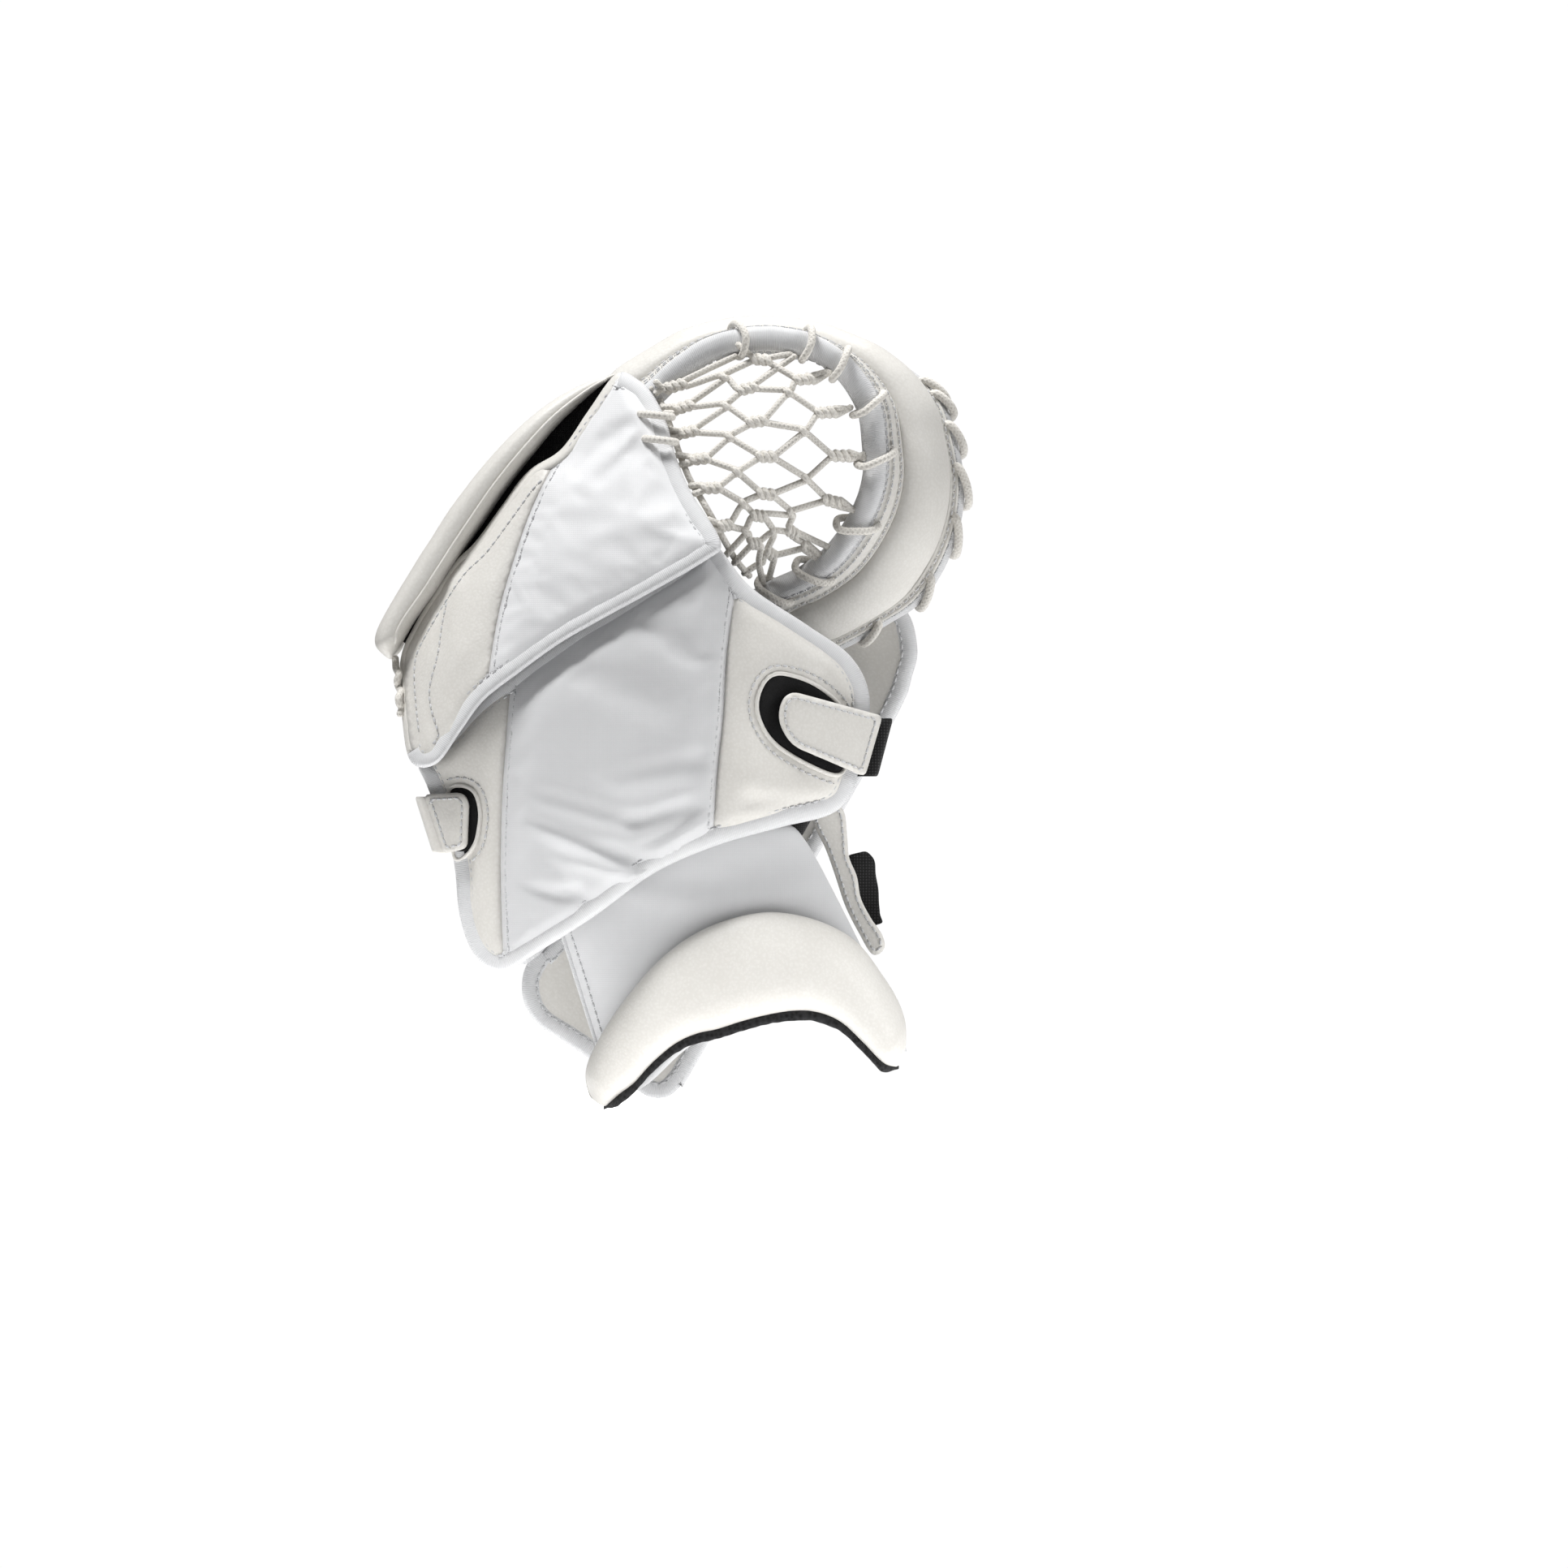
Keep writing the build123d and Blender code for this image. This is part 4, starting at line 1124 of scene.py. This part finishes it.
def net(frames):
    """The knotted net of the pocket, which sags away from the line that it hangs in."""
    ring = net_ring(frames)
    flat = ring[:, [0, 2]]

    def depth(p):
        p = np.asarray(p, float)
        gap = np.linalg.norm(p[:, None] - flat, axis=2)
        weight = 1 / (gap + 2) ** 3
        level = (weight * ring[:, 1]).sum(1) / weight.sum(1)
        return level - 13 * ease(gap.min(1) / 42)

    routes, knots, ways = net_routes()
    cords = []
    for side, keys, start, end in routes:
        points = [(*start, 0.0)]
        for key in keys:
            way = ways[key]
            across = np.array([-way[1], way[0]])
            turns, reach = LONG_TWIST if (key[1] - key[0]) % 2 else SHORT_TWIST
            # The knots lie closer together towards the heel.
            crowded = min(1.0, 0.55 + max(0.0, knots[key][1] - 262) / 60)
            for t in np.linspace(-1, 1, 4 * turns + 1):
                angle = (t + 1) / 2 * turns * math.pi
                spot = knots[key] + way * reach * crowded * t + across * side * CORD * math.cos(angle)
                points.append((*spot, -side * 1.15 * CORD * math.sin(angle)))
        points.append((*end, 2.0))
        line = smooth(points, per=4)
        y = depth(line[:, :2]) + line[:, 2]
        cords.append(tube("s", np.stack([line[:, 0], y, line[:, 1]], axis=1), CORD, LACE, 8))
    # The cord that the left side hangs on runs behind the pads' edge.
    edge = curve([(-52, 341), (-47, 333), (-42, 320), (-38, 308), (-33, 295), (-28, 286), (-21, 274),
                  (-15, 263), (-9, 253), (-2, 245)], 2)
    weave = 1.6 * np.sin(np.arange(len(edge)) * 0.7)
    cords.append(tube("s", join(edge, depth(edge) + 2.5 + weave), CORD, LACE, 8))
    fold(merge("pocket_net_cords", cords), "lace_cream", "pocket_net")


def wrap_lace(start, end, height, radius):
    """One lace stitch that comes out of a hole, goes over an edge and round behind it."""
    a, b = np.array(start, float), np.array(end, float)

    def off(point, depth):
        return point + np.array([0.0, depth, 0.0])

    path = [off(a, 3.5), off(a, -0.9), off((a + b) / 2, -height), off(b, -height * 0.4),
            off(b + (b - a) * 0.12, height * 1.4), off(a + (b - a) * 0.3, height * 2.6 + 3)]
    return tube("w", smooth(path, per=6), radius, LACE, 9)


def nearest_rim(flat, frames, u):
    """The rim station whose point at u is nearest to a flat point."""
    points = np.array([rim_point(i, u, 0, frames) for i in range(len(frames[0]))])
    return int(np.argmin(((points[:, [0, 2]] - np.array(flat)) ** 2).sum(1)))


def laces(frames):
    last = len(frames[0]) - 1
    # Each group of wraps: its holes, how far across the rim they lie, a wrap's route and its radius.
    for name, holes, place, route, radius, nodes in (
            ("rim_edge_laces", ((91, 350), (95, 342), (101, 323), (106, 302), (103, 277), (88, 247),
                                (61, 226)),
             0.885, ((0, 0.875, 3.5), (0, 0.885, 7.9), (2, 0.935, 9.2), (4, 0.99, 8.0), (5, 1.045, 3.5),
                     (5, 1.05, -2.0), (4, 0.98, -7.6), (3, 0.90, -5.0)),
             2.2, ("finger_rim_lace", "thumb_rim_lace")),
            ("net_edge_laces", ((-10, 367), (27, 366), (44, 354), (61, 334), (68, 307), (63, 271), (38, 246),
                                (15, 238)),
             0.15, ((0, 0.175, 4.0), (0, 0.16, 7.6), (1, 0.08, 9.3), (2, -0.01, 7.6), (3, -0.065, 3.0),
                    (3, -0.075, -1.5), (2, -0.03, -6.8), (1, 0.08, -8.0), (0, 0.15, -5.0)),
             1.95, ())):
        wraps = []
        for hole in holes:
            i = nearest_rim(hole, frames, place)
            path = [rim_point(min(i + k, last), u, v, frames) for k, u, v in route]
            wraps.append(tube("wrap", smooth(path, per=5), radius, LACE, 10))
        fold(merge(name, wraps), "lace_cream", *nodes)
    side = []
    for start, end in (((-57, 327), (-43.5, 325.5)), ((-54.5, 314), (-41.5, 312.5))):
        a, b = np.array([start]), np.array([end])
        ya, yb = finger_face(a)[0] - 1.0, finger_base(b)[0] - 1.5
        side.append(wrap_lace((start[0], ya, start[1]), (end[0], yb, end[1]), 4.2, 2.0))
    ride(merge("finger_edge_laces", side), "fingers", "lace_cream")
    # The lace that ties the lower end of the fingertip roll to the finger pad's edge.
    turns = []
    for k, z in enumerate(np.linspace(203, 174, 11)):
        x = np.interp(z, [170, 185, 200, 206], [-180.0, -181.0, -183.0, -186.0])
        y = finger_base([(x + 3, z)])[0] + 3.5 + 3.0 * math.sin(k * 1.5)
        turns.append((x + 0.8 * math.cos(k * 2.1), y, z))
    ride(tube("fingertip_tie_lace", smooth(turns, per=6), 1.9, LACE, 9), "fingers", "lace_cream",
         "edge_tie_lace")


# ==== palm side ===================================================================================
def bridge(name, a, b, finish, sag=0.0, thick=1.8, rows=5, toward=(0, 1, 0)):
    """A strip of cloth or leather between two edges with the same run."""
    rings = [[p + (q - p) * t + np.array(toward) * sag * math.sin(math.pi * t)
              for t in np.linspace(0, 1, rows)] for p, q in zip(spread(a, 40), spread(b, 40))]
    return thicken(grid(name, rings, finish, wrap=False), thick)


def palm():
    skin = palm_side(patch("palm_leather_skin", shift(PALM_EDGE, 2, True), palm_face, PALM_LEATHER, 4.0))
    fold(skin, "leather_palm", "palm_leather", "finger_palm_leather")
    half = 4.0
    fold(edge_tape("palm_edge_tape", PALM_EDGE, palm_middle, half, 9.0), "binding_white")
    fold(tape_stitches("palm_edge_stitching", PALM_EDGE, palm_middle, half, 7.0, False), "binding_white")
    lining = patch("palm_lining_cloth", shift(PALM_EDGE, 3, True), lambda p: palm_base(p) - 1.2, BLACK_FABRIC,
                   7.0, 1.2)
    fold(lining, "fabric_black", "palm_lining")
    # Side wall of the hand compartment, from the back-of-hand pad to the palm.
    near = curve([(-131, 56), (-142, 76), (-148, 100), (-158, 128), (-166, 146)])
    far = curve([(-129, 60), (-139, 88), (-146, 118), (-156, 146)])
    wall = bridge("palm_side_leather", join(near, hand_base(near) + 11), join(far, palm_base(far) + 3),
                  LEATHER, -5.0, toward=(1, 0, 0))
    ride(wall, "root", "leather_white", "palm_side_wall")
    # The finger compartment's outer side, from the fingertip roll to the palm board.
    low = curve([(-176, 190), (-180, 206), (-172, 222), (-150, 256), (-127, 290), (-104, 317), (-82, 333)])
    deep = curve([(-172, 192), (-172, 206), (-162, 226), (-142, 260), (-119, 294), (-97, 320), (-76, 336)])
    outer = bridge("finger_side_leather", join(low, -2), join(deep, palm_base(deep) + 3), LEATHER, 1.0)
    ride(outer, "fingers", "leather_white")
    # The index finger's side, between the finger pad and the palm, behind the net.
    top = curve([(-54, 330), (-47, 312), (-40, 294), (-29, 272), (-23, 258)])
    base = curve([(-60, 326), (-50, 306), (-44, 290), (-36, 272), (-30, 258)])
    index = bridge("index_side_leather", join(top, finger_base(top) + 9), join(base, palm_base(base) + 4),
                   PALM_LEATHER, 4.0, toward=(1, 0, 0))
    ride(index, "fingers", "leather_palm", "index_wall")
    # Cloth under the gap between the two back pads, which opens when the pocket closes.
    hand_side = curve([(-159, 145), (-147, 160), (-132, 176), (-92, 205), (-38, 240), (-22, 250)])
    finger_side = hand_side + ACROSS * 26
    knuckles = bridge("knuckle_gusset_cloth", join(hand_side - ACROSS * 8, hand_base(hand_side) + 9),
                      join(finger_side, finger_base(finger_side) + 13), BLACK_FABRIC, 4.0, 1.4, 9)
    fold(knuckles, "fabric_black")


def side_gusset():
    """Black cloth that closes the outer side between the finger half and the hand half."""
    back = curve([(-160, 141), (-167, 158), (-172, 176), (-173, 196)])
    front = curve([(-155, 141), (-162, 158), (-168, 176), (-170, 196)])
    depth = np.where(flex(back) < 4, hand_base(back) + 12, np.minimum(finger_base(back) + 13, 2))
    cloth = bridge("outer_side_gusset_cloth", join(back, soften(depth, 6)), join(front, palm_base(front) + 3),
                   BLACK_FABRIC, 2.0, 1.4, 9, toward=(1, 0, 0))
    fold(cloth, "fabric_black")


# ==== cuff and thumb board ========================================================================
def cuff_board():
    skin = shift(BOARD_EDGE, 2.5, True)
    ride(palm_side(patch("board_leather_face", skin, board_face, LEATHER, 4.0)), "root", "leather_white",
         "board_face_leather")
    ride(patch("board_inner_skin", skin, lambda p: board_base(p) + 0.2, LEATHER, 4.0), "root",
         "leather_white", "board_inner_leather")
    core = patch("board_filling", shift(BOARD_EDGE, 6, True), lambda p: board_base(p) + 2.6, BOARD, 8.0, 9.0)
    ride(core, "root", "board_plastic", "board_core")
    half = 5.8
    ride(edge_tape("board_edge_tape", BOARD_EDGE, board_middle, half, 9.5), "root", "binding_white",
         "board_binding")
    rows = [tape_stitches("row", BOARD_EDGE, board_middle, half, 7.4, front) for front in (True, False)]
    ride(merge("board_stitching", rows), "root", "binding_white")
    # The palm leather runs on to the board.
    palm_end = curve([(-122, 58), (-104, 62), (-64, 130), (-24, 200), (-16, 228)])
    board_end = curve([(-112, 46), (-100, 54), (-58, 122), (-8, 192), (6, 212)])
    heel = bridge("heel_leather", join(palm_end, palm_base(palm_end) + 6),
                  join(board_end, board_base(board_end) + 8), PALM_LEATHER, 2.0)
    ride(heel, "root", "leather_palm")


# ==== wrist sleeve and wrist roll =================================================================
# The wrist's oval: its half width, half depth and middle, and how far it leans per millimetre of height.
HALF_WIDE, HALF_DEEP, CUFF_Y, LEAN = 80.0, 36.0, -18.0, -0.31


def cuff_depth(p, off):
    """The depth of the wrist's oval at a flat point, off millimetres outside the sleeve."""
    x, z = np.asarray(p, float).T
    u = (x - LEAN * z) / (HALF_WIDE + off)
    return CUFF_Y - (HALF_DEEP + off) * np.sqrt(np.clip(1 - u * u, 0, 1))


def sleeve():
    turns = np.linspace(math.pi * 1.0, 0.0, 70)
    side = np.cos(turns)
    bottom = np.interp(side, [-1, -0.75, -0.4, 0, 0.4, 0.75, 1], [-24, -16, 5, 19, 21, 11, 0])
    top = np.interp(side, [-1, -0.75, -0.4, 0, 0.5, 0.76, 0.8, 0.87, 0.92, 0.96, 1],
                    [96, 99, 104, 112, 120, 118, 102, 72, 52, 36, 22])
    bottom = np.minimum(soften(bottom, 12), 14 + 12 * (1 - side))
    top = soften(top, 2)
    rings = []
    for i, turn in enumerate(turns):
        column = []
        for t in np.linspace(0, 1, 26):
            z = bottom[i] + (top[i] - bottom[i]) * t
            r = 1 + 0.012 * wobble(turn * 2.6, z * 0.02, 0.7)
            pleat = 1.5 * math.exp(-((z - 84 - 6 * math.sin(turn * 3)) / 7) ** 2) * math.sin(turn) ** 2
            x = LEAN * z + (HALF_WIDE * r - 0.6) * math.cos(turn)
            y = CUFF_Y - (HALF_DEEP * r + pleat - 0.5) * math.sin(turn) + 9 * (1 - math.sin(turn)) ** 4
            column.append((x, y, z))
        rings.append(column)
    shell = grid("wrist_sleeve_shell", rings, [NYLON, BLACK_FABRIC], wrap=False)
    if shell.data.polygons[len(shell.data.polygons) // 2].normal.y > 0:
        shell.data.flip_normals()
    modifier(shell, "SOLIDIFY", thickness=6.2 * MM, offset=-1, material_offset=1, material_offset_rim=0)
    subdivide(shell)
    ride(shell, "wrist_guard", "nylon_white", "sleeve_nylon", "sleeve_foam", "sleeve_lining")
    for name, column in (("wrist_sleeve_left_piping", 3), ("wrist_sleeve_right_piping", 66)):
        path = np.array([rings[column][k] for k in range(1, 24)]) + np.array([-1.2 * (column > 40), -1.0, 0])
        ride(tube(name, path, 1.5, TAPE, 10), "wrist_guard", "binding_white")
    stitch_path = np.array([rings[8][k] for k in range(2, 25)]) + np.array([0, -0.5, 0])
    ride(stitches("wrist_sleeve_stitching", stitch_path, np.tile(BACK, (23, 1))), "wrist_guard",
         "binding_white")


def wrist_roll():
    count = 84
    top = spread(curve([
        (-84, -22), (-86, -8), (-78, 10), (-66, 28), (-50, 47), (-34, 60), (-18, 68), (1, 73), (17, 73),
        (36, 68), (53, 58), (66, 41), (74, 28), (78, 16), (78, 4)], 3), count)
    low = spread(curve([
        (-76, -27), (-68, -20), (-60, -14), (-51, -4), (-39, 6), (-28, 11), (-18, 13), (-2, 18), (17, 22),
        (31, 22), (44, 17), (55, 7), (66, -4), (74, -6)], 3), count)
    rings = []
    for i in range(count):
        t = i / (count - 1)
        end = min(1.0, min(t, 1 - t) * 14 + 0.35) ** 0.5
        spots = []
        for k in range(22):
            a = k * math.pi / 21
            v = 0.5 - 0.5 * math.cos(a)
            spots.append((v, 1.5 + 19.0 * end * (math.sin(a) ** 0.62) * (1 - 0.18 * (1 - v) ** 2)))
        spots += [(0.86, 1.2), (0.5, 1.2), (0.14, 1.2)]
        ring = []
        for v, off in spots:
            flat = top[i] + (low[i] - top[i]) * v
            ring.append((flat[0], cuff_depth([flat], off)[0], flat[1]))
        rings.append(ring)
    roll = subdivide(grid("wrist_roll_leather", rings, LEATHER))
    ride(roll, "wrist_guard", "leather_white", "roll_leather", "roll_foam")
    # The mesh lining shows as a rough black edge along the roll's lower side.
    meshes = []
    for i in range(count):
        p, q = np.array(rings[i][19]), np.array(rings[i][22])
        taper = 0.25 + 0.75 * ease(min(i + 0.5, count - 0.5 - i) / 6)
        rough = 0.7 * wobble(i * 0.9, 2.0, 5.0)
        centre = (p + q) / 2 + -UP * (3.0 * taper + rough)
        ring = []
        for k in range(12):
            a = k * math.pi / 6
            size = 1 + 0.14 * wobble(i * 1.7, k * 1.3, 9.0)
            ring.append(centre + (q - p) * 0.56 * taper * math.cos(a) * size
                        + -UP * 4.2 * taper * math.sin(a) * size)
        meshes.append(ring)
    ride(subdivide(grid("wrist_roll_mesh_edge", meshes, BLACK_MESH)), "wrist_guard", "mesh_black",
         "roll_mesh_lining")


# ==== straps and tabs =============================================================================
def round_loop(points, radius, step=1.4):
    """A closed outline with straight sides and round corners."""
    pts = np.array(points, float)
    out = []
    for i, p in enumerate(pts):
        a, b = pts[i - 1] - p, pts[(i + 1) % len(pts)] - p
        la, lb = np.linalg.norm(a), np.linalg.norm(b)
        r = min(radius[i] if isinstance(radius, (list, tuple)) else radius, la * 0.48, lb * 0.48)
        p0, p1 = p + a / la * r, p + b / lb * r
        for t in np.linspace(0, 1, 9):
            out.append((1 - t) ** 2 * p0 + 2 * t * (1 - t) * p + t * t * p1)
    return anticlockwise(even(np.array(out), step, True))


def grow(loop, amount):
    """A closed loop moved outwards."""
    return shift(loop, -amount, True, 1)


TABS = {
    "thumb": dict(
        tab=[(17, 186), (66, 173), (57, 142), (19, 158), (12, 172)], corners=[9, 3, 3, 9, 11],
        window=[(0, 178), (8, 196), (30, 191), (48, 176), (47, 140), (27, 148), (8, 160)], round=11,
        band=((67, 172), (59, 142)), finish=BLACK_WEB),
    "side": dict(
        tab=[(-168, 133), (-148, 134), (-145, 129), (-146, 105), (-158, 103)], corners=[3, 4, 4, 4, 3],
        window=[(-156, 138), (-142, 137), (-138, 124), (-141, 106), (-152, 97)], round=8,
        band=((-168.5, 132), (-159, 103)), finish=LEATHER),
}


def straps():
    for side, spec in TABS.items():
        window = round_loop(spec["window"], spec["round"])
        pile = patch(f"{side}_loop_pile", grow(window, -1.0), lambda p: hand_face(p) - 0.7, BLACK_PILE, 2.5,
                     2.2)
        ride(pile, "root", "hook_loop_black", f"{side}_loop_patch")
        turned = tube(f"{side}_window_turned_edge", join(window, hand_face(window) - 0.6), 1.1, LEATHER, 8,
                      closed=True)
        ride(turned, "root", "leather_white")
        ring = grow(window, 4.0)
        keep = distance(ring, HAND_EDGE, True) > 10
        start = int(np.argmin(keep)) if not keep.all() else 0
        ring, keep = np.roll(ring, -start, axis=0), np.roll(keep, -start)
        path = ring[keep] if not keep.all() else shut(ring)
        ride(surface_stitches(f"{side}_window_stitching", path, hand_face), "root", "binding_white")
        tab = round_loop(spec["tab"], spec["corners"], 1.6)

        def tab_face(p):
            edge = 0.7 * (1 - ease(distance(p, tab, True) / 3.5))
            return hand_base(p) - 6.6 + edge - 0.3 * ripple(p, 14, 2.0)

        body = f"{side}_strap_tab"
        ride(patch(f"{side}_tab_leather", tab, tab_face, LEATHER, 2.0, 2.6), body, "leather_white",
             f"{side}_tab")
        row = surface_stitches(f"{side}_tab_stitching", shut(grow(tab, -2.8)), tab_face, 0.2, TAB_STITCH)
        ride(row, body, "binding_white")
    # Elastic bands round the pad's edge, from the tabs to the back of the pad.
    section = smooth([(-14, 18.5), (-4, 18.5), (2.2, 16.0), (3.6, 8.0), (3.2, 0.0), (1.6, -4.4),
                      (-3.5, -5.2)], per=4)
    for side, spec in TABS.items():
        a, b = (np.array(end, float) for end in spec["band"])
        sign = 1 if side == "thumb" else -1
        rings = []
        for t in np.linspace(0, 1, 9):
            p = a + (b - a) * t
            base = hand_base(np.array([p]))[0]
            rings.append([(p[0] + sign * u, base + v, p[1]) for u, v in section])
        band = thicken(grid(f"{side}_elastic_band", rings, spec["finish"], wrap=False), 1.8)
        ride(band, "root", "fabric_black", f"{side}_strap")


def wrist_tab():
    body, depth = "wrist_strap_tab", -22.5
    loop = loop_of([
        (30, 121), (38, 128), (46, 125), (48, 112), (49, 101), (53, 91), (55, 80), (60, 70), (66, 61),
        (67, 54), (61, 51), (54, 62), (47, 76), (42, 91), (37, 105)], 1.5)
    tab = patch("wrist_tab_leather", loop, lambda p: depth + 0.6 * (1 - ease(distance(p, loop, True) / 3)),
                LEATHER, 2.2, 2.2)
    ride(tab, body, "leather_white", "wrist_tab")
    row = surface_stitches("wrist_tab_stitching", shut(grow(loop, -2.2)), lambda p: np.full(len(p), depth),
                           0.2, TAB_STITCH)
    ride(row, body, "binding_white")
    path = curve([(53, 103), (56, 98), (57, 90), (58, 81), (61, 73), (63, 66)], 1.6)
    rings = []
    for i, (x, z) in enumerate(path):
        t = i / (len(path) - 1)
        half = 3.2 + 3.4 * math.sin(math.pi * min(1, 0.12 + t)) ** 0.7 + 0.5 * math.sin(t * 14)
        curl = 2.2 * math.sin(t * 5)
        rings.append([(x + half * math.cos(a), -18.0 + 1.5 * math.sin(a) + curl * math.cos(a),
                       z + 1.2 * math.cos(a)) for a in np.arange(12) * math.pi / 6])
    ride(subdivide(grid("wrist_webbing_end", rings, BLACK_WEB)), body, "fabric_black", "wrist_webbing")


# ==== carried-over CAD nodes ======================================================================
def finish_nodes():
    for node, finish in (("finger_stalls", BLACK_FABRIC), ("thumb_stall", BLACK_FABRIC),
                         ("inner_back", BLACK_FABRIC), ("palm_board", BOARD), ("finger_board", BOARD),
                         ("thumb_tab_hook", BLACK_PILE), ("side_tab_hook", BLACK_PILE)):
        mesh = frame["nodes"][node].data
        mesh.materials.clear()
        mesh.materials.append(finish)


# ==== stage =======================================================================================
def stage():
    low = cad_box[0][2]
    bpy.ops.mesh.primitive_plane_add(size=0.9, location=(0, 0, low - 0.004))
    floor = bpy.context.object
    floor.name = "studio_floor"
    f = Finish("studio_floor_paint", (0.93, 0.93, 0.93), 0.9,
               **{"Emission Color": (1, 1, 1, 1), "Emission Strength": 0.80})
    f.bump(f.noise(6, 2), 0.2, 0.1)
    floor.data.materials.append(f.mat)
    world = bpy.data.worlds.new("studio")
    bpy.context.scene.world = world
    world.use_nodes = True
    back = world.node_tree.nodes["Background"]
    back.inputs["Color"].default_value = (1, 1, 1, 1)
    # The paper behind the glove is white, but gives the glove only part of its light.
    ray = world.node_tree.nodes.new("ShaderNodeLightPath")
    level = world.node_tree.nodes.new("ShaderNodeMapRange")
    level.inputs["To Min"].default_value = 0.13
    level.inputs["To Max"].default_value = 1.02
    world.node_tree.links.new(ray.outputs["Is Camera Ray"], level.inputs["Value"])
    world.node_tree.links.new(level.outputs["Result"], back.inputs["Strength"])
    for name, place, size, power in (
            ("key", (-0.8, -0.55, 2.65), 0.7, 78),
            ("side", (2.3, -0.6, 1.0), 1.2, 26),
            ("top", (0.5, 0.9, 2.4), 1.2, 18)):
        light = bpy.data.lights.new(name, "AREA")
        light.size = size
        light.energy = power
        obj = bpy.data.objects.new(name, light)
        obj.location = place
        aim = Vector((-0.05, 0, 0.16)) - Vector(place)
        obj.rotation_euler = aim.to_track_quat("-Z", "Y").to_euler()
        bpy.context.scene.collection.objects.link(obj)
    camera = bpy.data.cameras.new("camera")
    camera.lens = 200
    camera.sensor_width = 36
    camera.clip_end = 60
    holder = bpy.data.objects.new("camera", camera)
    holder.location = (0.0157, -4.48, 0.1383)
    holder.rotation_euler = (math.pi / 2, 0, 0)
    bpy.context.scene.collection.objects.link(holder)
    bpy.context.scene.camera = holder
    bpy.context.scene.view_settings.view_transform = "Standard"


hand_pad()
finger_pad()
fingertip_roll()
RIM_FRAMES = pocket_rim()
net(RIM_FRAMES)
laces(RIM_FRAMES)
palm()
side_gusset()
cuff_board()
sleeve()
wrist_roll()
straps()
wrist_tab()
finish_nodes()
stage()
